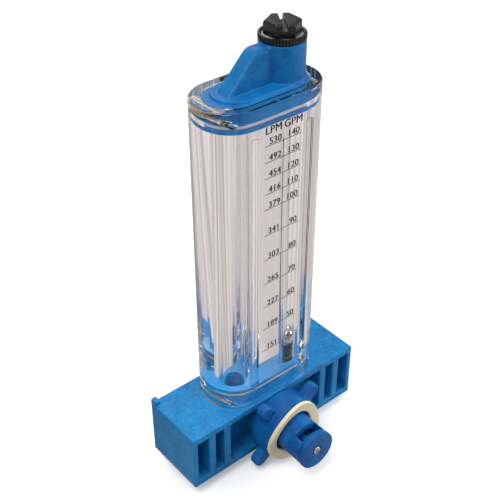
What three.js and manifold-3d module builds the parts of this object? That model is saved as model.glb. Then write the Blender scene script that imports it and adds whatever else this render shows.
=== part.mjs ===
// Variable-area flow meter on a strap-on pitot base, in millimetres, +Z up.
// The origin is the centre of the base block's underside; the pitot stem points along -Y.
import * as THREE from 'three';
import { mergeVertices } from 'three/addons/utils/BufferGeometryUtils.js';
import Module from 'manifold-3d';

const wasm = await Module();
wasm.setup();

// ---------- Driving dimensions ----------
const fitGap = 0.3; // clearance between pieces that touch, slide or turn

// Base block
const blockLength = 102;
const blockDepth = 33.4;
const blockHeight = 31;
const endWall = 2.5;
const outerSlotWidth = 6.5;
const innerSlotWidth = 5;
const slotWeb = 4;
const slotFloor = 3.3;
const slotRoof = 3.5;
const hubWall = 3.5; // round the stem bore
const nubWidth = 2.8; // locating nub on the rear left corner
const nubDepth = 4;
const nubHeight = 2.6;

// Clear body
const bodyHeight = 154.8;
const capSeatDepth = 1.4; // recess in the body's top that the cap's flange sits in
const boreSpacing = 26.6;
const returnBoreRadius = 5.6;
const boreTaper = 1.2; // how much wider the metering bore is at its top
const bodyRimRound = 1;
const fluteRadius = 2.2;
const fluteOutset = 1; // from a bore's axis to the flute beside it, away from the middle
const fluteEndMargin = 1.2; // from a flute's end to the level of the socket floor

// Spigots that the body is pinned to
const spigotRadius = 10.2;
const spigotLip = 1.3; // from a spigot's free face to its seal groove
const sealHeight = 2.2;
const sealDepth = 1.5;
const sealWall = 0.8; // between a seal groove and a pin hole
const portRadius = 5;
const portDepth = 9.5;
const inletRadius = 3.2;

// Cross pins
const pinRadius = 1.25;
const pinInset = 0.5; // pin axis inside the spigot's end
const lowerPinRise = 2.7; // above the block
const upperPinDrop = 4.7; // below the top of the body
const pinMouth = 8; // open hole in front of a pin
const pinEndWall = 2.5;

// Float, its seat and its stop
const floatRadius = 5.25;
const floatClearance = 0.45;
const seatHeight = 8.7;
const seatBoreRadius = 3.4;
const seatRimRadius = 4.2;
const seatChamfer = 0.4;
const stopThickness = 2;
const stopHoleRadius = 1.4;
const stopHoleCount = 4;
const stopRim = 1; // outside the holes

// Top cap
const capFlangeLip = 1; // flange beyond the spigot
const capFlangeHeight = 1;
const capPlateHeight = 1.1; // smaller plate on the flange
const capPlateInset = 1; // from the flange's edge to the plate's
const capPlateSetback = 2.5; // further inset at the rib's end
const capBlend = 0.5; // depth that the cap's features run into each other
const capEdgeRound = 0.25;
const bossWall = 4; // round the plug's bore
const bossHeight = 15.5;
const bossFillet = 0.4;
const rampWidth = 8;
const rampRound = 3;
const rampOverhang = 4.4; // ramp foot beyond the return bore's axis
const rampAngle = 46;
const rampShoulderDrop = 0.2; // below the top of the boss
const rampShoulderRadius = 5;
const crossPassageRadius = 2.3;
const capPortDepth = 5.5;

// Vent plug, knurled grip ring and washer
const plugShankRadius = 5.5;
const plugShankLength = 13;
const hexLip = 1.3; // from the shank to a flat of the head
const hexHeight = 5.7;
const hexBevel = 0.9;
const shankChamfer = 0.8;
const hexTurn = -2; // degrees
const headSink = 0.6; // head's underside below the top of the ring
const driverSlotWidth = 2;
const driverSlotDepth = 2.8;
const driverSlotTurn = 58;
const ringWall = 1.2; // round the washer's recess
const ringHeight = 2.5;
const ringRibs = 48;
const ribDepth = 0.4;
const ringRecessWidth = 3.2; // from the shank to the recess's wall
const washerThickness = 0.8;
const plugSealDrop = 3; // from the top of the boss to the shank's seal groove
const plugSealSection = 0.75;

// Pitot stem
const stemAxisHeight = 14;
const stemRadius = 9.75;
const stemReach = 29.1; // from the block's front face to the outer face of the end disc
const shoulderLip = 2.45; // shoulder beyond the stem
const shoulderThickness = 2;
const channelWall = 2.95; // stem wall round the channels
const channelWeb = 2.4;
const screwPostRadius = 2.8;
const endDiscLip = 0.25; // disc beyond the stem
const endDiscThickness = 2.5;
const portHalfWidth = 6.4;
const portLength = 5.2;
const portLip = 0.6; // stem wall left between a port and the end disc
const rotaryPitch = 4.6; // between neighbouring seals and ring grooves on the stem
const rotarySetback = 6.3; // first seal from the block's rear face
const ringGrooveWidth = 3.2;
const ringGrooveDepth = 1.1;
const stemSealSection = 0.85;
const passageRadius = 1.6;
const passageWall = 2.7;
const passageOffset = 1; // from a bore's axis to a drilled passage's start
const passageRise = 2; // above the floor of the port that it meets
const passageBite = 3; // how far a passage runs into the stem's bore
const stemDrillRadius = 1.44; // from a water groove to its channel
const stemDrillBite = 2;
const clipThickness = 0.9;
const clipWidth = 2.6;
const clipGrooveDepth = 1.1;
const clipPocketDepth = 3.2;
const clipGap = 50; // degrees
const stemTailRecess = 1;

// End screw
const screwHeadRadius = 2.1;
const screwHeadHeight = 1.2;
const screwShankRadius = 1.2;
const screwLength = 9;
const screwRecess = 0.7;
const screwRecessMargin = 0.7; // round the head
const screwTipTaper = 0.5;
const screwTipLength = 0.8;
const crossSlotWidth = 0.6;

// Saddle collar and gasket
const collarWall = 4; // round the shoulder's recess
const collarCrest = 9.8; // collar height on the pipe's centre line
const saddleRadius = 54;
const saddleTurn = 38; // degrees, direction of the pipe in the collar's plane
const gasketThickness = 2;
const gasketClearance = 1.45; // round the stem
const lugReach = 8; // from the collar's wall to a lug's tip
const lugWidth = 6.6;
const lugThickness = 5;
const lugSetback = 3; // from the collar's back
const lugCount = 4;

// ---------- Levels and places worked out from the sizes above ----------
const halfLength = blockLength / 2;
const halfDepth = blockDepth / 2;
const boreX = boreSpacing / 2;
const fluteOffset = boreX + fluteOutset;
const bodyEndRadius = halfDepth;
const bodyBottom = blockHeight + fitGap;
const bodyTop = bodyBottom + bodyHeight;
const pinX = boreX + spigotRadius - pinInset;
const pinHoleRadius = pinRadius + fitGap;
const lowerPinZ = blockHeight + lowerPinRise;
const capSeat = bodyTop - capSeatDepth;
const upperPinZ = bodyTop - upperPinDrop;
const pinHalfChord = Math.sqrt(bodyEndRadius ** 2 - (pinX - boreX) ** 2);
const lowerSealBottom = lowerPinZ + pinHoleRadius + sealWall;
const upperSealBottom = upperPinZ - pinHoleRadius - sealWall - sealHeight;
const lowerSpigotTop = lowerSealBottom + sealHeight + spigotLip;
const socketRadius = spigotRadius + fitGap;
const lowerSocketTop = lowerSpigotTop + fitGap;
const flangeBottom = capSeat + fitGap;
const capFlangeRadius = spigotRadius + capFlangeLip;
const upperSpigotBottom = upperSealBottom - spigotLip;
const upperSocketBottom = upperSpigotBottom - fitGap;
const plateBottom = flangeBottom + capFlangeHeight;
const flangeTop = plateBottom + capPlateHeight;
const bossTop = flangeTop + bossHeight;
const meteringBoreRadius = floatRadius + floatClearance;
const seatRadius = meteringBoreRadius - fitGap;
const seatBottom = lowerSpigotTop + fitGap;
const seatTop = seatBottom + seatHeight;
const floatCentre = seatTop + Math.sqrt(floatRadius ** 2 - seatRimRadius ** 2) + fitGap;
const plugBoreRadius = plugShankRadius + fitGap;
const bossRadius = plugBoreRadius + bossWall;
const hexAcrossFlats = 2 * (plugShankRadius + hexLip);
const ringRecessRadius = plugShankRadius + ringRecessWidth;
const ringRadius = ringRecessRadius + ringWall;
const plugSealRadius = plugBoreRadius - plugSealSection - fitGap / 3;
const plugGrooveRadius = plugSealRadius - plugSealSection - fitGap / 3;
const stopRadius = meteringBoreRadius + fitGap;
const stopSocketRadius = stopRadius + fitGap;
const ringBottom = bossTop + fitGap;
const ringTop = ringBottom + ringHeight;
const headBottom = ringTop - headSink;
const washerBottom = headBottom - fitGap - washerThickness;
const washerRadius = ringRecessRadius - fitGap;
const stemBoreRadius = stemRadius + fitGap;
const shoulderRadius = stemRadius + shoulderLip;
const channelRadius = stemRadius - channelWall;
const endDiscRadius = stemRadius + endDiscLip;
const collarRadius = shoulderRadius + fitGap + collarWall;
const gasketBoreRadius = stemRadius + gasketClearance;
const lugTipRadius = collarRadius + lugReach;
// Along the stem, "out" is the distance from the block's middle towards the pipe.
const blockFace = halfDepth;
const blockRear = -halfDepth;
const firstSeal = blockRear + rotarySetback;
const grooveOfMetering = firstSeal + rotaryPitch;
const grooveOfReturn = grooveOfMetering + 2 * rotaryPitch;
const pocketFloor = grooveOfReturn + passageRadius + passageWall;
const stemSealPlaces = [firstSeal, firstSeal + 2 * rotaryPitch, firstSeal + 4 * rotaryPitch];
const discFace = blockFace + stemReach;
const discBack = discFace - endDiscThickness;
const stemFront = discBack - fitGap;
const stemRear = blockRear + stemTailRecess;
const collarBack = blockFace + fitGap;
const pipeAxisOut = collarBack + collarCrest + saddleRadius;
const clipPlace = blockRear + clipPocketDepth - fitGap - clipThickness;
const stemGrooveRadius = stemRadius - clipGrooveDepth;
const clipOuterRadius = stemGrooveRadius + fitGap + clipWidth;

// ---------- Shape helpers ----------
const degrees = Math.PI / 180;
const fine = 36; // sides of a large round face
const plain = 24; // sides of a medium one
const coarse = 14; // sides of a small one
const pipeSides = 120;
const weldDistance = 1e-4;
const past = 1; // how far a cutter runs past a face

function solid(geometry) {
  const bare = geometry.index ? geometry.toNonIndexed() : geometry.clone();
  bare.deleteAttribute('normal');
  bare.deleteAttribute('uv');
  const merged = mergeVertices(bare, weldDistance);
  const mesh = new wasm.Mesh({
    numProp: 3,
    vertProperties: Float32Array.from(merged.attributes.position.array),
    triVerts: Uint32Array.from(merged.index.array),
  });
  return new wasm.Manifold(mesh);
}

function join(...solids) {
  return solids.reduce((whole, next) => whole.add(next));
}

function cut(base, ...tools) {
  return tools.reduce((left, tool) => left.subtract(tool), base);
}

function geometryOf(shape) {
  const mesh = shape.getMesh();
  const geometry = new THREE.BufferGeometry();
  geometry.setAttribute('position', new THREE.BufferAttribute(mesh.vertProperties, 3));
  geometry.setIndex(new THREE.BufferAttribute(mesh.triVerts, 1));
  geometry.computeVertexNormals();
  return geometry;
}

function block(x0, x1, y0, y1, z0, z1) {
  const geometry = new THREE.BoxGeometry(x1 - x0, y1 - y0, z1 - z0);
  geometry.translate((x0 + x1) / 2, (y0 + y1) / 2, (z0 + z1) / 2);
  return solid(geometry);
}

// A solid of revolution about Z from [radius, height] pairs.
function turned(profile, sides = fine, x = 0, y = 0) {
  const points = profile.map(([radius, height]) => new THREE.Vector2(radius, height));
  const geometry = new THREE.LatheGeometry(points, sides);
  geometry.rotateX(Math.PI / 2);
  geometry.translate(x, y, 0);
  return solid(geometry);
}

function rod(radius, z0, z1, x = 0, y = 0, sides = plain) {
  return turned([[0, z0], [radius, z0], [radius, z1], [0, z1]], sides, x, y);
}

function tube(inner, outer, z0, z1, sides = fine, x = 0, y = 0) {
  return turned([[inner, z0], [outer, z0], [outer, z1], [inner, z1], [inner, z0]], sides, x, y);
}

// A ring of round section about Z.
function roundRing(middle, section, height) {
  const turns = 6;
  const profile = [];
  for (let step = 0; step <= turns; step += 1) {
    const angle = (step % turns) * 2 * Math.PI / turns;
    profile.push([middle + section * Math.cos(angle), height + section * Math.sin(angle)]);
  }
  return turned(profile, plain);
}

function rodBetween(start, end, radius, sides = coarse) {
  const from = new THREE.Vector3(...start);
  const along = new THREE.Vector3(...end).sub(from);
  const geometry = new THREE.CylinderGeometry(radius, radius, along.length(), sides);
  geometry.translate(0, along.length() / 2, 0);
  const up = new THREE.Vector3(0, 1, 0);
  const turn = new THREE.Quaternion().setFromUnitVectors(up, along.clone().normalize());
  geometry.applyQuaternion(turn);
  geometry.translate(from.x, from.y, from.z);
  return solid(geometry);
}

function stadiumPath(halfSpan, radius, path) {
  path.moveTo(-halfSpan, -radius);
  path.lineTo(halfSpan, -radius);
  path.absarc(halfSpan, 0, radius, -Math.PI / 2, Math.PI / 2, false);
  path.lineTo(-halfSpan, radius);
  path.absarc(-halfSpan, 0, radius, Math.PI / 2, 3 * Math.PI / 2, false);
  return path;
}

// A stadium-shaped block between two heights, with its rims rounded by round.
function stadium(halfSpan, radius, z0, z1, round = 0, holeRadius = 0, segments = 12) {
  const shape = stadiumPath(halfSpan, radius, new THREE.Shape());
  if (holeRadius > 0) {
    shape.holes.push(stadiumPath(halfSpan, holeRadius, new THREE.Path()));
  }
  const geometry = new THREE.ExtrudeGeometry(shape, {
    depth: z1 - z0 - 2 * round,
    curveSegments: segments,
    bevelEnabled: round > 0,
    bevelThickness: round,
    bevelSize: round,
    bevelOffset: -round,
    bevelSegments: 2,
  });
  geometry.translate(0, 0, z0 + round);
  return solid(geometry);
}

// Turns a shape made about Z, with Y up, to lie along the stem: +Z becomes -Y at the stem's height.
function alongStem(shape) {
  return shape.rotate([90, 0, 0]).translate([0, 0, stemAxisHeight]);
}

// ---------- Cuts that two pieces share ----------
function pinHole(side, height) {
  const mouth = side * (bodyEndRadius + past);
  const end = -side * (pinHalfChord - pinEndWall);
  return rodBetween([side * pinX, mouth, height], [side * pinX, end, height], pinHoleRadius);
}

function sealGroove(z0) {
  return stadium(boreX, spigotRadius + past, z0, z0 + sealHeight, 0, spigotRadius - sealDepth);
}

// ---------- Base ----------
function slotPair(outerEdge, width) {
  return [-1, 1].map((side) => {
    const near = side * (outerEdge - width);
    const far = side * outerEdge;
    const [x0, x1] = side < 0 ? [far, near] : [near, far];
    return block(x0, x1, -halfDepth - past, halfDepth + past, slotFloor, blockHeight - slotRoof);
  });
}

function baseBlock() {
  const outerSlotEdge = halfLength - endWall;
  const innerSlotEdge = outerSlotEdge - outerSlotWidth - slotWeb;
  const recessEdge = innerSlotEdge - innerSlotWidth - slotWeb;
  const roof = blockHeight - slotRoof;
  const recess = block(-recessEdge, recessEdge, -halfDepth - past, -pocketFloor, slotFloor, roof);
  const hub = alongStem(rod(stemBoreRadius + hubWall, 0, blockFace + 2 * past, 0, 0, fine));
  const stemBore = alongStem(rod(stemBoreRadius, blockRear - past, blockFace + past, 0, 0, fine));
  const clipPocketRadius = clipOuterRadius + fitGap;
  const clipPocket = alongStem(rod(clipPocketRadius, blockRear - past, blockRear + clipPocketDepth));
  const nub = block(-halfLength, -halfLength + nubWidth, halfDepth - nubDepth, halfDepth,
    blockHeight - past, blockHeight + nubHeight);
  const spigot = stadium(boreX, spigotRadius, blockHeight - past, lowerSpigotTop);
  const portFloor = lowerSpigotTop - portDepth;
  const passageTop = portFloor + passageRise;
  const returnPort = rod(portRadius, portFloor, lowerSpigotTop + past, -boreX);
  const meteringPort = rod(inletRadius, portFloor, lowerSpigotTop + past, boreX);
  const passageFoot = stemAxisHeight + stemBoreRadius - passageBite;
  const returnPassage = rodBetween([2 * passageOffset - boreX, -grooveOfReturn, passageTop],
    [-stemBoreRadius / 2, -grooveOfReturn, passageFoot], passageRadius);
  const meteringPassage = rodBetween([boreX - passageOffset, -grooveOfMetering, passageTop],
    [stemBoreRadius / 2, -grooveOfMetering, passageFoot], passageRadius);
  const meteringGallery = rodBetween(
    [boreX - passageOffset, -grooveOfMetering - passageOffset, passageTop],
    [boreX, 0, passageTop + passageOffset], passageRadius);
  const body = block(-halfLength, halfLength, -halfDepth, halfDepth, 0, blockHeight);
  return cut(join(body, nub, spigot),
    ...slotPair(outerSlotEdge, outerSlotWidth),
    ...slotPair(innerSlotEdge, innerSlotWidth),
    recess.subtract(hub),
    stemBore,
    clipPocket,
    returnPort,
    meteringPort,
    returnPassage,
    meteringPassage,
    meteringGallery,
    sealGroove(lowerSealBottom),
    pinHole(-1, lowerPinZ),
    pinHole(1, lowerPinZ));
}

// ---------- Clear body ----------
function flute(side) {
  const z0 = lowerSocketTop + fluteEndMargin + fluteRadius;
  const z1 = upperSocketBottom - fluteEndMargin - fluteRadius;
  const x = side * fluteOffset;
  const ends = [z0, z1].map((height) => {
    const ball = new THREE.SphereGeometry(fluteRadius, coarse, 8);
    ball.rotateX(Math.PI / 2);
    ball.translate(x, -bodyEndRadius, height);
    return solid(ball);
  });
  return join(rod(fluteRadius, z0, z1, x, -bodyEndRadius, coarse), ...ends);
}

function meterBody() {
  const shell = stadium(boreX, bodyEndRadius, bodyBottom, bodyTop, bodyRimRound, 0, 16);
  const lowerSocket = stadium(boreX, socketRadius, bodyBottom - past, lowerSocketTop);
  const upperSocket = stadium(boreX, socketRadius, upperSocketBottom, bodyTop + past);
  const capRecess = stadium(boreX, capFlangeRadius + fitGap, capSeat, bodyTop + past);
  const boreLow = lowerSocketTop - past;
  const boreHigh = upperSocketBottom + past;
  const returnBore = rod(returnBoreRadius, boreLow, boreHigh, -boreX);
  const meteringTop = meteringBoreRadius + boreTaper;
  const meteringBore = turned([
    [0, boreLow],
    [meteringBoreRadius, boreLow],
    [meteringTop, boreHigh],
    [0, boreHigh],
  ], plain, boreX);
  return cut(shell, lowerSocket, upperSocket, capRecess, returnBore, meteringBore, flute(-1), flute(1),
    pinHole(-1, lowerPinZ), pinHole(1, lowerPinZ), pinHole(-1, upperPinZ), pinHole(1, upperPinZ));
}

function spigotSeal(z0) {
  const outer = spigotRadius + fitGap / 2;
  const inner = spigotRadius - sealDepth + fitGap / 2;
  const gap = fitGap / 2;
  return stadium(boreX, outer, z0 + gap, z0 + sealHeight - gap, 0, inner, 8);
}

function crossPin() {
  const chamfer = 0.3;
  const length = 2 * pinHalfChord - pinMouth - pinEndWall - fitGap;
  return turned([
    [0, 0],
    [pinRadius - chamfer, 0],
    [pinRadius, chamfer],
    [pinRadius, length - chamfer],
    [pinRadius - chamfer, length],
    [0, length],
  ], coarse);
}

// ---------- Float train ----------
function floatBall() {
  const ball = new THREE.SphereGeometry(floatRadius, 20, 14);
  ball.rotateX(Math.PI / 2);
  return solid(ball);
}

function floatSeat() {
  const countersink = seatRimRadius - seatBoreRadius;
  return turned([
    [seatBoreRadius, 0],
    [seatRadius, 0],
    [seatRadius, seatHeight - seatChamfer],
    [seatRadius - seatChamfer, seatHeight],
    [seatRimRadius, seatHeight],
    [seatBoreRadius, seatHeight - countersink],
    [seatBoreRadius, 0],
  ], plain);
}

function floatStop() {
  const holeCircle = stopRadius - stopHoleRadius - stopRim;
  const holes = [];
  for (let index = 0; index < stopHoleCount; index += 1) {
    const angle = (index + 0.5) * 2 * Math.PI / stopHoleCount;
    const x = holeCircle * Math.cos(angle);
    const y = holeCircle * Math.sin(angle);
    holes.push(rod(stopHoleRadius, -past, stopThickness + past, x, y, coarse));
  }
  return cut(rod(stopRadius, 0, stopThickness), ...holes);
}

// ---------- Top cap ----------
function rampRib() {
  const foot = -boreX - rampOverhang;
  const crest = bossTop - rampShoulderDrop;
  const slope = rampAngle * degrees;
  const base = flangeTop - 4 * rampRound;
  const shoulder = foot + (crest - flangeTop) / Math.tan(slope);
  const tangent = rampShoulderRadius * Math.tan(slope / 2);
  const outline = new THREE.Shape();
  outline.moveTo(foot, base);
  outline.lineTo(foot, flangeTop);
  outline.lineTo(shoulder - tangent * Math.cos(slope), crest - tangent * Math.sin(slope));
  outline.absarc(shoulder + tangent, crest - rampShoulderRadius, rampShoulderRadius,
    Math.PI / 2 + slope, Math.PI / 2, true);
  outline.lineTo(boreX, crest);
  outline.lineTo(boreX, base);
  const geometry = new THREE.ExtrudeGeometry(outline, {
    depth: rampWidth - 2 * rampRound,
    curveSegments: 6,
    bevelEnabled: true,
    bevelThickness: rampRound,
    bevelSize: rampRound,
    bevelOffset: -rampRound,
    bevelSegments: 4,
  });
  geometry.translate(0, 0, rampRound - rampWidth / 2);
  geometry.rotateX(Math.PI / 2);
  const sunk = flangeTop - capBlend;
  const aboveFlange = block(foot - past, boreX, -rampWidth, rampWidth, sunk, bossTop);
  return solid(geometry).intersect(aboveFlange);
}

function boss() {
  const foot = bossRadius + bossFillet;
  const profile = [[0, flangeTop - capBlend], [foot, flangeTop - capBlend]];
  const steps = 3;
  for (let step = 0; step <= steps; step += 1) {
    const angle = step * Math.PI / 2 / steps;
    profile.push([
      foot - bossFillet * Math.sin(angle),
      flangeTop + bossFillet * (1 - Math.cos(angle)),
    ]);
  }
  profile.push([bossRadius, bossTop], [0, bossTop]);
  return turned(profile, fine, boreX);
}

// The plate covers the plug's end of the flange and stops short at the rib's end.
function capPlate() {
  const radius = capFlangeRadius - capPlateInset;
  const halfSpan = boreX - capPlateSetback / 2;
  return stadium(halfSpan, radius, plateBottom - capBlend, flangeTop)
    .translate([capPlateSetback / 2, 0, 0]);
}

function topCap() {
  const flange = stadium(boreX, capFlangeRadius, flangeBottom, plateBottom, capEdgeRound);
  const spigot = stadium(boreX, spigotRadius, upperSpigotBottom, flangeBottom + capBlend);
  const below = upperSpigotBottom - past;
  const returnPort = rod(portRadius, below, upperSpigotBottom + capPortDepth, -boreX);
  const stopShelf = upperSpigotBottom + stopThickness + fitGap;
  const stopSocket = rod(stopSocketRadius, below, stopShelf, boreX);
  const plugBore = rod(plugBoreRadius, upperSpigotBottom, bossTop + past, boreX);
  const passage = rodBetween([-boreX, 0, upperSpigotBottom + passageRise],
    [boreX, 0, bossTop - plugShankLength + passageRise], crossPassageRadius);
  return cut(join(flange, spigot, capPlate(), boss(), rampRib()),
    returnPort,
    stopSocket,
    plugBore,
    passage,
    sealGroove(upperSealBottom),
    pinHole(-1, upperPinZ),
    pinHole(1, upperPinZ));
}

// ---------- Vent plug ----------
function hexPrism(cornerRadius, topRadius, z0, z1) {
  const prism = new THREE.CylinderGeometry(topRadius, cornerRadius, z1 - z0, 6);
  prism.rotateX(Math.PI / 2);
  prism.rotateZ(hexTurn * degrees);
  prism.translate(0, 0, (z0 + z1) / 2);
  return solid(prism);
}

function ventPlug() {
  const cornerRadius = hexAcrossFlats / Math.sqrt(3);
  const headTop = headBottom + hexHeight;
  const bevelFoot = headTop - hexBevel;
  const hex = join(hexPrism(cornerRadius, cornerRadius, headBottom, bevelFoot),
    hexPrism(cornerRadius, cornerRadius - hexBevel, bevelFoot, headTop));
  const slotBlade = block(-hexAcrossFlats, hexAcrossFlats, -driverSlotWidth / 2,
    driverSlotWidth / 2, headTop - driverSlotDepth, headTop + past);
  const shankBottom = bossTop - plugShankLength;
  const grooveTop = bossTop - plugSealDrop;
  const grooveHeight = 2 * plugSealSection + 2 * fitGap;
  const shank = turned([
    [0, shankBottom],
    [plugShankRadius - shankChamfer, shankBottom],
    [plugShankRadius, shankBottom + shankChamfer],
    [plugShankRadius, grooveTop - grooveHeight],
    [plugGrooveRadius, grooveTop - grooveHeight],
    [plugGrooveRadius, grooveTop],
    [plugShankRadius, grooveTop],
    [plugShankRadius, headBottom + past],
    [0, headBottom + past],
  ], plain);
  const head = cut(hex, slotBlade.rotate([0, 0, driverSlotTurn]));
  return join(head, shank);
}

function plugSeal() {
  const middle = bossTop - plugSealDrop - plugSealSection - fitGap;
  return roundRing(plugSealRadius, plugSealSection, middle);
}

function knurledRing() {
  const outline = new THREE.Shape();
  const stepAngle = Math.PI / ringRibs;
  for (let index = 0; index < 2 * ringRibs; index += 1) {
    const radius = ringRadius - (index % 2) * ribDepth;
    for (const lean of [-0.25, 0.25]) {
      const angle = (index + lean) * stepAngle;
      const x = radius * Math.cos(angle);
      const y = radius * Math.sin(angle);
      if (index === 0 && lean < 0) {
        outline.moveTo(x, y);
      } else {
        outline.lineTo(x, y);
      }
    }
  }
  const geometry = new THREE.ExtrudeGeometry(outline, { depth: ringHeight, bevelEnabled: false });
  geometry.translate(0, 0, ringBottom);
  return cut(solid(geometry),
    rod(plugBoreRadius, ringBottom - past, ringTop + past),
    rod(ringRecessRadius, washerBottom - fitGap, ringTop + past, 0, 0, fine));
}

// ---------- Pitot stem, made about Z with the pipe's side up ----------
function channel(side, rear) {
  const end = stemFront + past;
  const bore = rod(channelRadius, rear, end);
  const wide = channelRadius + past;
  const half = side > 0
    ? block(-wide, wide, channelWeb / 2, wide, rear, end)
    : block(-wide, wide, -wide, -channelWeb / 2, rear, end);
  return bore.intersect(half).subtract(rod(screwPostRadius, rear - past, end + past));
}

function portWindow(side) {
  const far = stemRadius + past;
  const [y0, y1] = side > 0 ? [channelWeb / 2, far] : [-far, -channelWeb / 2];
  const front = stemFront - portLip;
  const opening = block(-portHalfWidth, portHalfWidth, y0, y1, front - portLength, front);
  return opening.subtract(rod(screwPostRadius, front - portLength - past, front + past));
}

function ringGroove(place, depth, width) {
  return tube(stemRadius - depth, stemRadius + past, place - width / 2, place + width / 2);
}

function pitotStem() {
  const blank = join(
    rod(stemRadius, stemRear, stemFront, 0, 0, fine),
    rod(shoulderRadius, collarBack, collarBack + shoulderThickness, 0, 0, fine));
  const returnRear = grooveOfReturn - ringGrooveWidth / 2;
  const meteringRear = grooveOfMetering - ringGrooveWidth / 2;
  const upDrill = rodBetween([0, channelRadius - stemDrillBite, grooveOfReturn],
    [0, stemRadius + past, grooveOfReturn], stemDrillRadius);
  const downDrill = rodBetween([0, stemDrillBite - channelRadius, grooveOfMetering],
    [0, -stemRadius - past, grooveOfMetering], stemDrillRadius);
  const sealWidth = 2 * stemSealSection + fitGap;
  const sealGrooves = stemSealPlaces.map((place) => (
    ringGroove(place, 2 * stemSealSection + fitGap / 2, sealWidth)));
  return cut(blank,
    channel(1, returnRear),
    channel(-1, meteringRear),
    portWindow(1),
    portWindow(-1),
    upDrill,
    downDrill,
    ringGroove(grooveOfReturn, ringGrooveDepth, ringGrooveWidth),
    ringGroove(grooveOfMetering, ringGrooveDepth, ringGrooveWidth),
    ...sealGrooves,
    ringGroove(clipPlace + clipThickness / 2, stemRadius - stemGrooveRadius,
      clipThickness + fitGap),
    rod(screwShankRadius + fitGap / 2, stemFront - screwLength, stemFront + past, 0, 0, coarse));
}

function endDisc() {
  const chamfer = 0.4;
  const recessFloor = discFace - screwRecess;
  const recessRadius = screwHeadRadius + screwRecessMargin;
  return turned([
    [screwShankRadius + fitGap, discBack],
    [endDiscRadius, discBack],
    [endDiscRadius, discFace - chamfer],
    [endDiscRadius - chamfer, discFace],
    [recessRadius, discFace],
    [recessRadius, recessFloor],
    [screwShankRadius + fitGap, recessFloor],
    [screwShankRadius + fitGap, discBack],
  ]);
}

function endScrew() {
  const headBase = discFace - screwRecess + fitGap / 2;
  const headTop = headBase + screwHeadHeight;
  const tip = stemFront - screwLength + past;
  const blank = turned([
    [0, tip],
    [screwShankRadius - screwTipTaper, tip],
    [screwShankRadius, tip + screwTipLength],
    [screwShankRadius, headBase],
    [screwHeadRadius, headBase],
    [screwHeadRadius, headBase + screwHeadHeight * 0.45],
    [screwHeadRadius * 0.8, headBase + screwHeadHeight * 0.85],
    [screwHeadRadius * 0.45, headTop],
    [0, headTop],
  ], coarse);
  const arm = screwHeadRadius * 0.6;
  const half = crossSlotWidth / 2;
  const floor = headTop - screwHeadHeight * 0.6;
  return cut(blank,
    block(-arm, arm, -half, half, floor, headTop + past),
    block(-half, half, -arm, arm, floor, headTop + past));
}

function stemSeal(place) {
  const middle = stemRadius - stemSealSection + fitGap / 4;
  return roundRing(middle, stemSealSection, place);
}

function retainingClip() {
  const inner = stemGrooveRadius + fitGap / 2;
  const reach = clipOuterRadius + past;
  const wedge = new THREE.Shape();
  wedge.moveTo(0, 0);
  wedge.lineTo(reach * Math.sin(clipGap / 2 * degrees), reach);
  wedge.lineTo(-reach * Math.sin(clipGap / 2 * degrees), reach);
  const gap = new THREE.ExtrudeGeometry(wedge, {
    depth: clipThickness + 2 * past,
    bevelEnabled: false,
  });
  gap.translate(0, 0, clipPlace - past);
  return cut(tube(inner, clipOuterRadius, clipPlace, clipPlace + clipThickness), solid(gap));
}

// ---------- Saddle collar ----------
function pipeRod(radius) {
  const length = 4 * collarRadius;
  const geometry = new THREE.CylinderGeometry(radius, radius, length, pipeSides);
  geometry.rotateZ(Math.PI / 2);
  geometry.rotateZ(saddleTurn * degrees);
  geometry.translate(0, 0, pipeAxisOut);
  return solid(geometry);
}

function lug(index) {
  const z0 = collarBack + lugSetback;
  const tipCentre = lugTipRadius - lugWidth / 2;
  const rootCentre = collarRadius - lugWidth / 2;
  const bar = stadium((tipCentre - rootCentre) / 2, lugWidth / 2, z0, z0 + lugThickness, 0, 0, 5);
  const turn = saddleTurn + index * 360 / lugCount;
  return bar.translate([(tipCentre + rootCentre) / 2, 0, 0]).rotate([0, 0, turn]);
}

function saddleCollar() {
  const blankTop = collarBack + collarCrest + collarRadius;
  const lugs = Array.from({ length: lugCount }, (_, index) => lug(index));
  return cut(join(rod(collarRadius, collarBack, blankTop, 0, 0, fine), ...lugs),
    rod(stemBoreRadius, collarBack - past, blankTop + past, 0, 0, fine),
    rod(shoulderRadius + fitGap, collarBack - past, collarBack + shoulderThickness + fitGap,
      0, 0, fine),
    pipeRod(saddleRadius));
}

function saddleGasket() {
  const back = saddleRadius - fitGap;
  const blank = tube(gasketBoreRadius, collarRadius - fitGap, collarBack,
    collarBack + collarCrest + collarRadius);
  return blank.intersect(pipeRod(back)).subtract(pipeRod(back - gasketThickness));
}

// ---------- Assembly ----------
const blue = { color: 0x1a6fc0, roughness: 0.5, metalness: 0 };
const clear = { color: 0xe8eef2, roughness: 0.05, metalness: 0 };
const black = { color: 0x16161a, roughness: 0.3, metalness: 0 };
const rubber = { color: 0x202022, roughness: 0.8, metalness: 0 };
const cream = { color: 0xe6dcc2, roughness: 0.7, metalness: 0 };
const nylon = { color: 0xc9c9c4, roughness: 0.45, metalness: 0 };
const steel = { color: 0xb9b6ae, roughness: 0.25, metalness: 1 };
const brass = { color: 0xb08a5a, roughness: 0.3, metalness: 1 };

function piece(name, shape, finish) {
  const mesh = new THREE.Mesh(geometryOf(shape), new THREE.MeshStandardMaterial(finish));
  mesh.name = name;
  return mesh;
}

const meter = new THREE.Group();
meter.add(piece('base_block', baseBlock(), blue));
meter.add(piece('meter_body', meterBody(), clear));
meter.add(piece('top_cap', topCap(), blue));
meter.add(piece('lower_spigot_seal', spigotSeal(lowerSealBottom), rubber));
meter.add(piece('upper_spigot_seal', spigotSeal(upperSealBottom), rubber));

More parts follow.
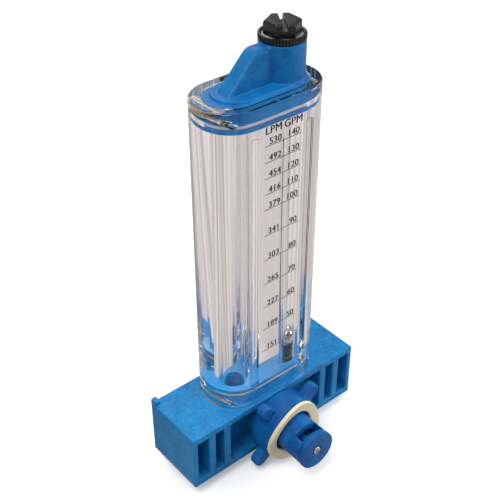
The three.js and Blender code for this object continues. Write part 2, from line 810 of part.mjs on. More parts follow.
for (const [name, side, height] of [
  ['lower_left_pin', -1, lowerPinZ],
  ['lower_right_pin', 1, lowerPinZ],
  ['upper_left_pin', -1, upperPinZ],
  ['upper_right_pin', 1, upperPinZ],
]) {
  const pin = piece(name, crossPin(), brass);
  pin.rotation.x = -side * Math.PI / 2;
  pin.position.set(side * pinX, -side * (pinHalfChord - pinEndWall - fitGap), height);
  meter.add(pin);
}

const floatTrain = new THREE.Group();
floatTrain.position.x = boreX;
const ball = piece('float_ball', floatBall(), steel);
ball.position.z = floatCentre;
const seat = piece('float_seat', floatSeat(), black);
seat.position.z = seatBottom;
const stop = piece('float_stop', floatStop(), black);
stop.position.z = upperSpigotBottom;
floatTrain.add(ball, seat, stop);
floatTrain.add(piece('vent_plug', ventPlug(), black));
floatTrain.add(piece('plug_seal', plugSeal(), rubber));
floatTrain.add(piece('knurled_ring', knurledRing(), black));
floatTrain.add(piece('plug_washer',
  tube(plugBoreRadius, washerRadius, washerBottom, washerBottom + washerThickness), nylon));
meter.add(floatTrain);

const pitot = new THREE.Group();
pitot.rotation.x = Math.PI / 2;
pitot.position.z = stemAxisHeight;
pitot.add(piece('pitot_stem', pitotStem(), blue));
pitot.add(piece('stem_end_disc', endDisc(), blue));
pitot.add(piece('end_screw', endScrew(), steel));
['rear', 'middle', 'front'].forEach((word, index) => {
  pitot.add(piece(`${word}_stem_seal`, stemSeal(stemSealPlaces[index]), rubber));
});
pitot.add(piece('retaining_clip', retainingClip(), steel));
pitot.add(piece('saddle_collar', saddleCollar(), blue));
pitot.add(piece('saddle_gasket', saddleGasket(), cream));
meter.add(pitot);

export default meter;
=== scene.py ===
"""Builds the looks of a clear flow meter on a strap-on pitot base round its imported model."""

import math

import bmesh
import bpy
from mathutils import Matrix, Vector


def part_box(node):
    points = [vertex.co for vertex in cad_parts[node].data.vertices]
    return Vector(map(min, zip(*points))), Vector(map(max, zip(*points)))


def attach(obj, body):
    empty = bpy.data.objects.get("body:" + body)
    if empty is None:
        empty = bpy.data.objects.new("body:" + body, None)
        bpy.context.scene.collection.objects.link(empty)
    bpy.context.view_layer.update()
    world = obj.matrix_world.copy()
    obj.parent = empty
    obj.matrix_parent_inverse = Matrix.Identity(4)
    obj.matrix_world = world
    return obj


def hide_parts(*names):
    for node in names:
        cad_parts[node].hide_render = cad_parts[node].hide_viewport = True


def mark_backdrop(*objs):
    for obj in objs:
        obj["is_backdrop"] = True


bl_info = {
    "name": "Pitot flow meter",
    "version": (1, 0, 0),
    "blender": (4, 5, 0),
    "location": "View3D > Sidebar > Flow meter",
    "description": "Pieces, finishes and stage of a clear variable-area flow meter",
    "category": "Object",
}

MM = 0.001
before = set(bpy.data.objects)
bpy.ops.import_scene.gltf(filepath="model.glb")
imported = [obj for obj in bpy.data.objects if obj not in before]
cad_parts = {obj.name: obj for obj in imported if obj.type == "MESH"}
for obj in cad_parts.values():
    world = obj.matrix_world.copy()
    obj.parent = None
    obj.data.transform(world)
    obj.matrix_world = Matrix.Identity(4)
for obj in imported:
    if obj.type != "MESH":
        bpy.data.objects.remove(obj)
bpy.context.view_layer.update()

# ---------- Places taken from the frame ----------
BLOCK_LOW, BLOCK_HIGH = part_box("base_block")
BODY_LOW, BODY_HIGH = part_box("meter_body")
CAP_LOW, CAP_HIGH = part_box("top_cap")
PLUG_LOW, PLUG_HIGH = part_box("vent_plug")
RING_LOW, RING_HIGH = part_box("knurled_ring")
WASHER_LOW, WASHER_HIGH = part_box("plug_washer")
PLUG_SEAL_LOW, PLUG_SEAL_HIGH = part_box("plug_seal")
BALL_LOW, BALL_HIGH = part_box("float_ball")
SEAT_LOW, SEAT_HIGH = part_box("float_seat")
STOP_LOW, STOP_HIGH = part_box("float_stop")
STEM_LOW, STEM_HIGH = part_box("pitot_stem")
DISC_LOW, DISC_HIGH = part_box("stem_end_disc")
SCREW_LOW, SCREW_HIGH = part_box("end_screw")
CLIP_LOW, CLIP_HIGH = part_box("retaining_clip")
COLLAR_LOW, COLLAR_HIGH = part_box("saddle_collar")

BORE_X = (RING_LOW.x + RING_HIGH.x) / 2
STEM_Z = (DISC_LOW.z + DISC_HIGH.z) / 2
HALF_DEPTH = BLOCK_HIGH.y
BALL_RADIUS = (BALL_HIGH.x - BALL_LOW.x) / 2
ALONG_STEM = Matrix.Translation((0, 0, STEM_Z)) @ Matrix.Rotation(math.pi / 2, 4, "X")
PINS = ("lower_left_pin", "lower_right_pin", "upper_left_pin", "upper_right_pin")

# ---------- Fixed numbers ----------
OVERCUT = 1 * MM  # how far a cutter reaches past what it cuts
CONTACT = 0.02 * MM  # how far the blue that is seen through the clear body reaches into it
# past this many surfaces the clear body shows a painted pale grey glow instead of black
CLEAR_DEPTH = 6  # surfaces that light may meet before it ends in a pale grey
PRINT_LIFT = 0.01 * MM  # between the clear body's face and the print
FIGURE_SHARE = 0.72  # height of a figure over the size of its font
FIRST_FLOW, LAST_FLOW = 40, 140  # ends of the scale, in gallons a minute
LITRES = 3.7854  # in a gallon
LAMPS = (  # name, place, size and power of the soft lamps
    ("key", (-0.45, -0.15, 0.95), 0.5, 5.2),
    ("side", (0.75, -0.45, 0.45), 0.4, 4.6),
    ("back", (0.25, 0.8, 0.6), 0.6, 2.2),
)


# ---------- Settings ----------
def length(name, description, millimetres):
    """A length property with its default in millimetres."""
    return bpy.props.FloatProperty(
        name=name, description=description, default=millimetres * MM, unit="LENGTH", precision=5
    )


def rotation(name, description, degrees):
    """An angle property with its default in degrees."""
    return bpy.props.FloatProperty(
        name=name, description=description, default=math.radians(degrees), unit="ROTATION"
    )


def tint(name, description, colour):
    """A colour property."""
    return bpy.props.FloatVectorProperty(
        name=name, description=description, default=colour, subtype="COLOR", size=3, min=0, max=1
    )


class BaseSizes(bpy.types.PropertyGroup):
    """Sizes of the base block and of the spigots that the clear body is pinned to."""

    gap: length("Fit gap", "Clearance between pieces that touch or slide", 0.3)
    end_wall: length("End wall", "Wall outside the outer strap slots", 2.5)
    outer_slot: length("Outer slot", "Width of the outer strap slots", 6.5)
    inner_slot: length("Inner slot", "Width of the inner strap slots", 5.0)
    web: length("Web", "Web between neighbouring slots", 4.0)
    floor: length("Floor", "Material under the slots", 3.3)
    roof: length("Roof", "Material over the slots", 3.5)
    pocket_depth: length("Pocket depth", "Depth of the pockets beside the stem hub", 9.0)
    hub_radius: length("Hub radius", "Outside of the hub round the stem", 13.5)
    edge: length("Edge", "Rounding of the block's edges", 0.45)
    nub_width: length("Nub width", "Width of the locating nub", 2.8)
    nub_depth: length("Nub depth", "Depth of the locating nub", 4.0)
    nub_height: length("Nub height", "Height of the locating nub", 2.6)
    spigot_radius: length("Spigot radius", "End radius of the spigots", 10.2)
    pad_inset: length("Pad inset", "From the clear body's edge to the pad under it", 3.4)
    seal_height: length("Seal groove height", "Height of a spigot's seal groove", 2.2)
    seal_depth: length("Seal groove depth", "Depth of a spigot's seal groove", 1.5)
    lip: length("Spigot lip", "From a spigot's free face to its seal groove", 1.3)
    port_radius: length("Return port radius", "Port under the return bore", 5.0)
    port_depth: length("Port depth", "Depth of the ports in the spigots", 9.5)
    inlet_radius: length("Inlet radius", "Port under the float seat", 3.2)
    clip_pocket: length("Clip pocket depth", "Depth of the pocket at the back", 3.2)


class BodySizes(bpy.types.PropertyGroup):
    """Sizes of the clear body."""

    rim: length("Rim", "Rounding of the body's rims", 1.2)
    return_radius: length("Return bore radius", "Bore that leads the water back", 5.6)
    clearance: length("Float clearance", "Metering bore round the float at its foot", 0.45)
    taper: length("Taper", "How much wider the metering bore is at its top", 1.2)
    flute_radius: length("Flute radius", "Radius of the two flutes in the front face", 2.2)
    flute_offset: length("Flute offset", "From the centre line to a flute", 14.3)
    flute_margin: length("Flute margin", "From a flute's end to the sockets", 1.2)
    pin_radius: length("Pin radius", "Radius of the cross pins", 1.25)
    cap_seat: length("Cap seat", "Depth of the recess that the cap's flange sits in", 1.4)


class CapSizes(bpy.types.PropertyGroup):
    """Sizes of the top cap."""

    flange_lip: length("Flange lip", "Flange beyond the spigot", 1.0)
    flange_height: length("Flange height", "Thickness of the flange", 1.0)
    plate_height: length("Plate height", "Thickness of the plate on the flange", 1.1)
    plate_inset: length("Plate inset", "From the flange's edge to the plate's", 1.0)
    plate_setback: length("Plate setback", "Further inset of the plate at the rib's end", 2.5)
    boss_radius: length("Boss radius", "Radius of the boss under the plug", 9.8)
    ramp_width: length("Ramp width", "Width of the passage rib", 8.6)
    ramp_round: length("Ramp round", "Rounding of the rib's crest", 2.2)
    ramp_overhang: length("Ramp overhang", "Rib's foot beyond the return bore", 4.4)
    ramp_drop: length("Ramp drop", "Rib's crest below the top of the boss", 0.2)
    shoulder: length("Shoulder radius", "Rounding at the top of the rib", 5.0)
    fillet: length("Fillet", "Fillet at the foot of the boss", 0.4)
    voxel: length("Skin step", "Size of the mesh steps on the moulded skin", 0.27)
    ramp_angle: rotation("Ramp angle", "Slope of the rib", 46)


class PlugSizes(bpy.types.PropertyGroup):
    """Sizes of the vent plug, its ring and its washer."""

    across_flats: length("Across flats", "Width of the hexagon head", 13.6)
    head_bevel: length("Head bevel", "Bevel round the top of the head", 0.9)
    slot_width: length("Slot width", "Width of the driver slot", 2.0)
    slot_depth: length("Slot depth", "Depth of the driver slot", 2.8)
    shank_radius: length("Shank radius", "Outside of the thread", 5.5)
    pitch: length("Pitch", "Pitch of the thread", 1.5)
    thread_depth: length("Thread depth", "Depth of the thread", 0.55)
    seal_drop: length("Seal drop", "From the top of the boss to the seal groove", 3.0)
    ribs: bpy.props.IntProperty(name="Ribs", description="Knurls on the ring", default=48, min=8)
    rib_depth: length("Rib depth", "Depth of a knurl", 0.42)
    recess_radius: length("Recess radius", "Recess of the ring that holds the washer", 8.7)
    head_turn: rotation("Head turn", "Turn of the hexagon", -2)
    slot_turn: rotation("Slot turn", "Turn of the driver slot", 58)


class StemSizes(bpy.types.PropertyGroup):
    """Sizes of the pitot stem and what is on it."""

    radius: length("Stem radius", "Outside of the stem", 9.75)
    shoulder_radius: length("Shoulder radius", "Radius of the captive shoulder", 12.2)
    shoulder: length("Shoulder", "Thickness of the captive shoulder", 2.0)
    channel: length("Channel radius", "Radius of the two half-round channels", 6.8)
    web: length("Web", "Thickness of the wall between the channels", 2.4)
    post: length("Post radius", "Radius of the screw post", 2.8)
    port_half: length("Port half width", "Half the width of a port", 6.4)
    port_length: length("Port length", "Length of a port along the stem", 5.2)
    port_lip: length("Port lip", "Stem wall between a port and the end disc", 0.6)
    rotary_pitch: length("Seal pitch", "Between neighbouring seals and ring grooves", 4.6)
    rotary_setback: length("Seal setback", "First seal from the back of the block", 6.3)
    groove_width: length("Ring groove width", "Width of a water groove", 3.2)
    groove_depth: length("Ring groove depth", "Depth of a water groove", 1.1)
    seal_section: length("Seal section", "Section radius of the stem's seals", 0.85)
    clip_depth: length("Clip groove depth", "Depth of the clip's groove", 1.1)
    clip_width: length("Clip width", "From the clip's inside to its outside", 2.75)
    screw_hole: length("Screw hole depth", "Depth of the end screw's hole", 9.0)
    disc_round: length("Disc rounding", "Rounding of the end disc", 0.45)
    screw_recess: length("Screw recess", "Depth of the recess round the screw", 0.7)
    screw_head: length("Screw head radius", "Radius of the end screw's head", 2.1)
    screw_shank: length("Screw shank radius", "Radius of the end screw's shank", 1.2)


class CollarSizes(bpy.types.PropertyGroup):
    """Sizes of the saddle collar and its gasket."""

    radius: length("Collar radius", "Outside of the collar", 16.5)
    crest: length("Crest", "Height of the collar on the pipe's centre line", 9.8)
    saddle: length("Saddle radius", "Radius of the saddle", 54.0)
    gasket: length("Gasket thickness", "Thickness of the gasket", 2.0)
    gasket_bore: length("Gasket bore radius", "Bore of the gasket", 11.2)
    lug_tip: length("Lug reach", "From the stem's axis to a lug's tip", 24.5)
    lug_width: length("Lug width", "Width of a lug", 6.6)
    lug_thickness: length("Lug thickness", "Thickness of a lug along the stem", 5.0)
    lug_setback: length("Lug setback", "From the collar's back to a lug", 3.0)
    lugs: bpy.props.IntProperty(name="Lugs", description="Number of lugs", default=4, min=2)
    turn: rotation("Turn", "Direction of the pipe in the collar", 38)


class ScaleSizes(bpy.types.PropertyGroup):
    """The printed scale."""

    digit: length("Figure height", "Height of the figures", 3.0)
    line: length("Line width", "Width of the printed lines", 0.28)
    reach: length("Line reach", "From the centre line to a tick's outer end", 9.6)
    level_100: length("Level of 100", "Height of the 100 gallon tick", 139.3)
    upper_step: length("Upper step", "Between ticks above 100 gallons a minute", 7.4)
    lower_step: length("Lower step", "Between ticks below 100 gallons a minute", 12.8)
    ink: length("Ink", "Thickness of the print", 0.05)
    bold: length("Bold", "Step between the copies that thicken the strokes", 0.1)


class Colours(bpy.types.PropertyGroup):
    """Colours of the finishes."""

    blue: tint("Blue plastic", "Moulded block, cap, stem and collar", (0.0, 0.080, 0.315))
    blue_light: tint("Blue plastic, light", "Lighter mottles of the plastic", (0.0, 0.245, 0.56))
    clear: tint("Acrylic", "Tint of the clear body", (0.985, 0.98, 0.975))
    black: tint("Black plastic", "Plug and ring", (0.004, 0.0035, 0.0033))
    rubber: tint("Rubber", "Black seals", (0.016, 0.016, 0.017))
    cream: tint("Gasket", "Cream gasket rubber", (0.80, 0.70, 0.47))
    nylon: tint("Washer", "Pale nylon washer", (0.30, 0.29, 0.27))
    steel: tint("Steel", "Float, screw and clip", (0.60, 0.57, 0.53))
    brass: tint("Brass", "Cross pins", (0.50, 0.36, 0.23))
    ink: tint("Ink", "Printed scale", (0.012, 0.011, 0.013))
    floor: tint("Floor", "Pale floor", (0.93, 0.93, 0.93))


class StageSettings(bpy.types.PropertyGroup):
    """Camera and lights."""

    eye: bpy.props.FloatVectorProperty(
        name="Eye", description="Where the camera stands", default=(-0.21341, -0.24958, 0.34097),
        subtype="TRANSLATION", size=3, precision=5,
    )
    heading: rotation("Heading", "Turn of the camera from +Y towards +X", 40.097)
    pitch: rotation("Pitch", "How far the camera looks down", 35.564)
    lens: bpy.props.FloatProperty(
        name="Lens", description="Focal length in millimetres", default=64.99, min=1
    )


class MeterSettings(bpy.types.PropertyGroup):
    """Everything that can be set on the flow meter."""

    base: bpy.props.PointerProperty(type=BaseSizes)
    body: bpy.props.PointerProperty(type=BodySizes)
    cap: bpy.props.PointerProperty(type=CapSizes)
    plug: bpy.props.PointerProperty(type=PlugSizes)
    stem: bpy.props.PointerProperty(type=StemSizes)
    collar: bpy.props.PointerProperty(type=CollarSizes)
    scale: bpy.props.PointerProperty(type=ScaleSizes)
    colours: bpy.props.PointerProperty(type=Colours)
    stage: bpy.props.PointerProperty(type=StageSettings)


def settings():
    """The meter's settings on this scene."""
    return bpy.context.scene.flow_meter


# ---------- Shader writing ----------
class Wire:
    """A shader socket on which Python's operators add Math nodes."""

    def __init__(self, nodes, socket):
        self.nodes = nodes
        self.socket = socket

    def maths(self, operation, first, second=None):
        """A Math node on one or two values."""
        values = {0: first} if second is None else {0: first, 1: second}
        return self.nodes.add("ShaderNodeMath", {"operation": operation}, values)

    def __add__(self, other):
        return self.maths("ADD", self, other)

    __radd__ = __add__

    def __sub__(self, other):
        return self.maths("SUBTRACT", self, other)

    def __rsub__(self, other):
        return self.maths("SUBTRACT", other, self)

    def __mul__(self, other):
        return self.maths("MULTIPLY", self, other)

    __rmul__ = __mul__

    def __gt__(self, other):
        return self.maths("GREATER_THAN", self, other)

    def most(self, other):
        """The larger of two values."""
        return self.maths("MAXIMUM", self, other)

    def least(self, other):
        """The smaller of two values."""
        return self.maths("MINIMUM", self, other)


class Nodes:
    """A node tree being written."""

    def __init__(self, tree):
        self.tree = tree

    def feed(self, socket, value):
        """Sets a socket to a value, or links a wire to it."""
        if isinstance(value, Wire):
            self.tree.links.new(value.socket, socket)
        elif hasattr(value, "__len__"):
            missing = len(socket.default_value) - len(value)
            socket.default_value = list(value) + [1.0] * missing
        else:
            socket.default_value = value

    def add(self, kind, traits=None, sockets=None, output=0):
        """Adds a node: its settings first, then its sockets, and returns one output as a wire."""
        node = self.tree.nodes.new(kind)
        for key, value in (traits or {}).items():
            if key == "stops":
                ramp = node.color_ramp.elements
                while len(ramp) < len(value):
                    ramp.new(0.5)
                for element, (place, shade) in zip(ramp, value):
                    element.position = place
                    element.color = (shade, shade, shade, 1)
            else:
                setattr(node, key, value)
        for key, value in (sockets or {}).items():
            self.feed(node.inputs[key], value)
        return Wire(self, node.outputs[output])


class Finish(Nodes):
    """A material being written."""

    def __init__(self, name):
        self.material = bpy.data.materials.new("flow_meter_" + name)
        self.material.use_nodes = True
        super().__init__(self.material.node_tree)
        self.shader = self.tree.nodes["Principled BSDF"]

    def show(self, surface):
        """Makes a shader the material's surface."""
        self.feed(self.tree.nodes["Material Output"].inputs["Surface"], surface)

    def place(self):
        """Where a point lies in the meter's frame."""
        return self.add("ShaderNodeTexCoord", output="Object")

    def noise(self, vector, scale, detail=3.0, rough=0.5):
        """A cloudy value between 0 and 1."""
        sockets = {"Vector": vector, "Scale": scale, "Detail": detail, "Roughness": rough}
        return self.add("ShaderNodeTexNoise", {}, sockets)

    def stretched(self, vector, scale):
        """The place scaled along each axis."""
        return self.add("ShaderNodeMapping", {}, {"Vector": vector, "Scale": scale})

    def ramp(self, value, low, high):
        """0 below low and 1 above high."""
        return self.add("ShaderNodeValToRGB", {"stops": [(low, 0.0), (high, 1.0)]}, {0: value})

    def mix(self, factor, first, second):
        """One colour blending into another."""
        sockets = {0: factor, 6: first, 7: second}
        return self.add("ShaderNodeMix", {"data_type": "RGBA"}, sockets, output=2)

    def bump(self, height, strength, distance):
        """Feeds the shader's normal from a height."""
        sockets = {"Height": height, "Strength": strength, "Distance": distance}
        self.set("Normal", self.add("ShaderNodeBump", {}, sockets))

    def set(self, name, value):
        """Sets or feeds one of the shader's own sockets."""
        self.feed(self.shader.inputs[name], value)


def finish(name):
    """The named finish, written the first time it is asked for."""
    known = bpy.data.materials.get("flow_meter_" + name)
    return known or FINISHES[name](name).material


def blue_plastic(name, tone_shift=0.0):
    """Blue moulded plastic with flow mottles, a fine mould grain and scuffs; a tone shift gives a
    paler copy, and a darker copy that is partly painted shade.
    """
    colours = settings().colours
    made = Finish(name)
    place = made.place()
    mottle = made.noise(place, 150, 5, 0.62)
    patch = made.noise(place, 38, 2)
    grain = made.noise(place, 2400, 2)
    speck = made.ramp(made.noise(place, 700, 5, 0.75), 0.48, 0.70)
    scuff = made.ramp(made.noise(made.stretched(place, (700, 90, 420)), 1, 3, 0.6), 0.66, 0.78)
    # tone_shift moves the tone: paler on the block, and darker on the stem and collar, where the
    # darkening is partly painted shade
    tone = mottle * 1.3 + patch * 0.7 - 0.55 + tone_shift
    colour = made.mix(tone.most(0).least(1), colours.blue, colours.blue_light)
    worn = scuff * 0.25 + speck * max(0.03, 0.07 + tone_shift * 0.9)
    made.set("Base Color", made.mix(worn, colour, (0.20, 0.50, 0.70)))
    made.set("Roughness", 0.38 + mottle * 0.16 + scuff * 0.14)
    made.set("Specular IOR Level", 0.25)
    made.bump(grain * 0.5 + mottle * 0.5 + scuff * 0.3 + speck * 0.2, 0.25, 0.00014)
    return made


def frosted_blue(name):
    """The same plastic, paler, on the base block."""
    return blue_plastic(name, 0.18)


def deep_blue(name):
    """The same plastic, darker on the stem, its end disc and its collar: partly a deeper blue, partly
    painted shade.
    """
    return blue_plastic(name, -0.3)


def silicone(name):
    """Spigot seals in pale lilac, a painted reflection of the grey-violet air gaps round the spigots
    seen through the clear body.
    """
    made = Finish(name)
    place = made.place()
    cloud = made.noise(place, 300, 3)
    # painted reflection: lilac for the grey-violet look of the air gaps round the spigots
    made.set("Base Color", made.mix(cloud, (0.36, 0.40, 0.55), (0.52, 0.54, 0.66)))
    made.set("Roughness", 0.35 + cloud * 0.2)
    made.bump(made.noise(place, 1800, 2), 0.15, 0.0001)
    return made


def clear_acrylic(name):
    """Polished acrylic with faint machining streaks and handling marks.

    Lamps shine through it, and where light has met many surfaces the body glows a painted pale grey,
    not black.
    """
    made = Finish(name)
    place = made.place()
    streak = made.noise(made.stretched(place, (260, 260, 5)), 1, 1)
    haze = made.noise(place, 55, 4, 0.6)
    scratch = made.ramp(made.noise(made.stretched(place, (260, 260, 1500)), 1, 3, 0.65), 0.70, 0.80)
    made.set("Base Color", settings().colours.clear)
    made.set("Roughness", haze * 0.01 + scratch * 0.03)
    made.set("Transmission Weight", 1.0)
    made.set("IOR", 1.42)
    made.bump(streak * 0.8 + scratch * 0.2, 0.03, 0.00008)
    passing = made.add("ShaderNodeBsdfTransparent", {}, {0: (0.93, 0.935, 0.94)})
    # painted glow: pale grey emission for rays that have met more than CLEAR_DEPTH surfaces
    painted_glow = made.add("ShaderNodeEmission", {}, {0: (0.56, 0.54, 0.57)})
    lamp = made.add("ShaderNodeLightPath", output="Is Shadow Ray")
    spent = made.add("ShaderNodeLightPath", output="Ray Depth") > CLEAR_DEPTH
    bent = Wire(made, made.shader.outputs["BSDF"])
    lit = made.add("ShaderNodeMixShader", {}, {0: lamp, 1: bent, 2: passing})
    made.show(made.add("ShaderNodeMixShader", {}, {0: spent, 1: lit, 2: painted_glow}))
    return made


def black_plastic(name):
    """Glossy black moulded plastic with dust and fine scratches."""
    made = Finish(name)
    place = made.place()
    cloud = made.noise(place, 420, 4, 0.6)
    dust = made.ramp(made.noise(place, 1500, 3, 0.7), 0.62, 0.75)
    base = settings().colours.black
    made.set("Base Color", made.mix(dust * 0.25, base, (0.13, 0.125, 0.12)))
    made.set("Roughness", 0.20 + cloud * 0.22 + dust * 0.2)
    made.set("Specular IOR Level", 0.55)
    made.bump(cloud * 0.7 + dust * 0.3, 0.25, 0.00012)
    return made


def rubber(name, colour, pale):
    """Dull rubber with a powdery bloom."""
    made = Finish(name)
    place = made.place()
    bloom = made.noise(place, 260, 5, 0.65)
    grain = made.noise(place, 3200, 2)
    made.set("Base Color", made.mix(bloom * 0.6, colour, pale))
    made.set("Roughness", 0.62 + bloom * 0.25)
    made.bump(grain * 0.6 + bloom * 0.4, 0.3, 0.00012)
    return made


def black_rubber(name):
    """Rubber of the seals."""
    return rubber(name, settings().colours.rubber, (0.05, 0.05, 0.05))


def cream_rubber(name):
    """Rubber of the saddle gasket."""
    return rubber(name, settings().colours.cream, (0.88, 0.82, 0.64))


def grey_nylon(name):
    """Pale nylon washer with turning marks."""
    made = Finish(name)
    turning = made.noise(made.stretched(made.place(), (240, 240, 4000)), 1, 3)
    made.set("Base Color", made.mix(turning * 0.7, settings().colours.nylon, (0.72, 0.71, 0.67)))
    made.set("Roughness", 0.32 + turning * 0.15)
    made.bump(turning, 0.15, 0.0001)
    return made


def metal(name, colour, pale, rough):
    """Bare metal with tarnish clouds and fine scratches."""
    made = Finish(name)
    place = made.place()
    tarnish = made.noise(place, 320, 5, 0.6)
    scratch = made.noise(made.stretched(place, (3000, 3000, 260)), 1, 3)
    made.set("Base Color", made.mix(tarnish * 0.8, colour, pale))
    made.set("Metallic", 1.0)
    made.set("Roughness", rough + tarnish * 0.12 + scratch * 0.06)
    made.bump(scratch, 0.08, 0.00006)
    return made


def polished_steel(name):
    """Stainless steel of the float, screw and clip."""
    return metal(name, settings().colours.steel, (0.74, 0.71, 0.66), 0.10)


def brass_pin(name):
    """Tarnished brass of the cross pins."""
    return metal(name, settings().colours.brass, (0.74, 0.52, 0.28), 0.22)


def scale_ink(name):
    """Screen-printed ink, a little thin in places."""
    made = Finish(name)
    thin = made.noise(made.place(), 1800, 3, 0.6)
    made.set("Base Color", made.mix(thin * 0.5, settings().colours.ink, (0.045, 0.04, 0.042)))
    made.set("Roughness", 0.42 + thin * 0.2)
    return made


def pale_floor(name):
    """Plain matt floor; what is seen through or mirrored in the meter is painted studio shade and
    light, in dark and pale patches round it.
    """
    made = Finish(name)
    place = made.place()
    soft = made.noise(place, 6, 2)
    white = made.mix(soft * 0.3, settings().colours.floor, (0.96, 0.96, 0.96))
    # painted studio shade and light: dark and pale patches by direction round the meter, seen only by
    # rays that pass through it or reflect off it
    round_about = made.add("ShaderNodeVectorMath", {"operation": "NORMALIZE"}, {0: place})
    cloud = made.ramp(made.noise(round_about, 2.6, 1), 0.38, 0.62)
    painted_studio_shade = made.mix(cloud, (0.32, 0.285, 0.285), (0.68, 0.635, 0.62))
    direct = made.add("ShaderNodeLightPath", output="Is Camera Ray")
    made.set("Base Color", made.mix(direct, painted_studio_shade, white))
    made.set("Roughness", 0.9)
    made.set("Emission Color", made.mix(direct, (0, 0, 0), white))
    made.set("Emission Strength", 0.3)
    return made


FINISHES = {maker.__name__: maker for maker in (
    blue_plastic, frosted_blue, deep_blue, silicone, clear_acrylic, black_plastic, black_rubber,
    cream_rubber, grey_nylon, polished_steel, brass_pin, scale_ink, pale_floor,
)}


# ---------- Shape helpers ----------
def hold(name, data):
    """An object in the scene that holds some data."""
    holder = bpy.data.objects.new(name, data)
    bpy.context.scene.collection.objects.link(holder)
    return holder


def make(name, mesh_builder):
    """An object from a bmesh, with its faces turned outwards."""
    bmesh.ops.remove_doubles(mesh_builder, verts=mesh_builder.verts, dist=1e-8)
    bmesh.ops.recalc_face_normals(mesh_builder, faces=mesh_builder.faces)
    mesh = bpy.data.meshes.new(name)
    mesh_builder.to_mesh(mesh)
    mesh_builder.free()
    return hold(name, mesh)


def lap(sides, radius, height, start=0.0):
    """Points round Z; the radius may be a function of the share of the lap."""
    points = []
    for side in range(sides):
        reach = radius(side / sides) if callable(radius) else radius
        angle = start + 2 * math.pi * side / sides
        points.append((reach * math.cos(angle), reach * math.sin(angle), height))
    return points


def arc(radius, first, last, steps, middle=(0.0, 0.0)):
    """Points along an arc from one angle to another."""
    angles = [first + (last - first) * step / steps for step in range(steps + 1)]
    return [(middle[0] + radius * math.cos(a), middle[1] + radius * math.sin(a)) for a in angles]


def bridge(builder, rings, closed):
    """Faces between rings of points; a ring of one point is a pole."""
    pairs = list(zip(rings, rings[1:]))
    if closed:
        pairs.append((rings[-1], rings[0]))
    for lower, upper in pairs:
        sides = max(len(lower), len(upper))
        for side in range(sides):
            after = (side + 1) % sides
            corners = [lower[side % len(lower)], lower[after % len(lower)],
                       upper[after % len(upper)], upper[side % len(upper)]]
            unique = list(dict.fromkeys(corners))
            if len(unique) > 2:
                builder.faces.new(unique)


def loft(name, layers, closed=False):
    """A closed skin through layers of points; each layer has the same number of points."""
    builder = bmesh.new()
    rings = [[builder.verts.new(point) for point in layer] for layer in layers]
    if not closed:
        builder.faces.new(list(reversed(rings[0])))
        builder.faces.new(rings[-1])
    bridge(builder, rings, closed)
    return make(name, builder)


def turned(name, profile, sides=96):
    """A solid of revolution about Z; the profile ends on the axis or closes on itself."""
    closed = profile[0] == profile[-1]
    builder = bmesh.new()
    rings = []
    for radius, height in profile[:-1] if closed else profile:
        points = [(0, 0, height)] if radius < 1e-9 else lap(sides, radius, height)
        rings.append([builder.verts.new(point) for point in points])
    bridge(builder, rings, closed)
    return make(name, builder)


def rounded(points, radius, steps=4, closed=False):
    """A profile with its corners rounded; corners too tight for the radius get less."""
    count = len(points)
    result = []
    for index, point in enumerate(points):
        if not closed and index in (0, count - 1):
            result.append(tuple(point))
            continue
        here = Vector(point)
        before = Vector(points[index - 1]) - here
        after = Vector(points[(index + 1) % count]) - here
        trim = min(radius, before.length * 0.45, after.length * 0.45)
        first = here + before.normalized() * trim
        last = here + after.normalized() * trim
        for step in range(steps + 1):
            share = step / steps
            bend = first * (1 - share) ** 2 + here * 2 * share * (1 - share) + last * share ** 2
            result.append(tuple(bend))
    if closed:
        result.append(result[0])
    return result


def rod(name, radius, low, high, sides=64, rounding=0.0):
    """A cylinder about Z."""
    profile = [(0, low), (radius, low), (radius, high), (0, high)]
    return turned(name, rounded(profile, rounding) if rounding else profile, sides)


def washer(name, inner, outer, low, high, rounding=0.0, sides=96):
    """A flat ring about Z."""
    corners = [(inner, low), (outer, low), (outer, high), (inner, high)]
    profile = rounded(corners, rounding, closed=True) if rounding else corners + corners[:1]
    return turned(name, profile, sides)


def ring(name, middle, section, height, sides=96, turns=16):
    """A ring of round section about Z."""
    profile = arc(section, 0, 2 * math.pi, turns, (middle, height))
    profile[-1] = profile[0]
    return turned(name, profile, sides)


def box(name, low, high):
    """An upright box between two corners."""
    xs, ys = (low[0], high[0]), (low[1], high[1])
    outline = [(xs[0], ys[0]), (xs[1], ys[0]), (xs[1], ys[1]), (xs[0], ys[1])]
    return loft(name, [[(x, y, z) for x, y in outline] for z in (low[2], high[2])])


def stadium_points(half_span, radius, height, steps=40):
    """Points round a stadium in a level plane."""
    ends = [(half_span, arc(radius, -math.pi / 2, math.pi / 2, steps)),
            (-half_span, arc(radius, math.pi / 2, 3 * math.pi / 2, steps))]
    return [(middle + x, y, height) for middle, points in ends for x, y in points]


def stadium(name, profile, steps=40, half_span=BORE_X):
    """A stadium whose end radius follows a profile of (radius, height) pairs."""
    return loft(name, [stadium_points(half_span, r, z, steps) for r, z in profile])


def stadium_post(name, radius, low, high, steps=40):
    """A straight stadium."""
    return stadium(name, [(radius, low), (radius, high)], steps)


def rim_profile(radius, low, high, rounding, steps=5):
    """A profile with both rims rounded, for a stadium."""
    full = rounded([(0, low), (radius, low), (radius, high), (0, high)], rounding, steps)
    return full[1:-1]


def move(thing, matrix):
    """Moves a mesh's points."""
    thing.data.transform(matrix)
    thing.data.update()
    return thing


def shift(thing, x=0.0, y=0.0, z=0.0):
    """Moves a mesh along the axes."""
    return move(thing, Matrix.Translation((x, y, z)))


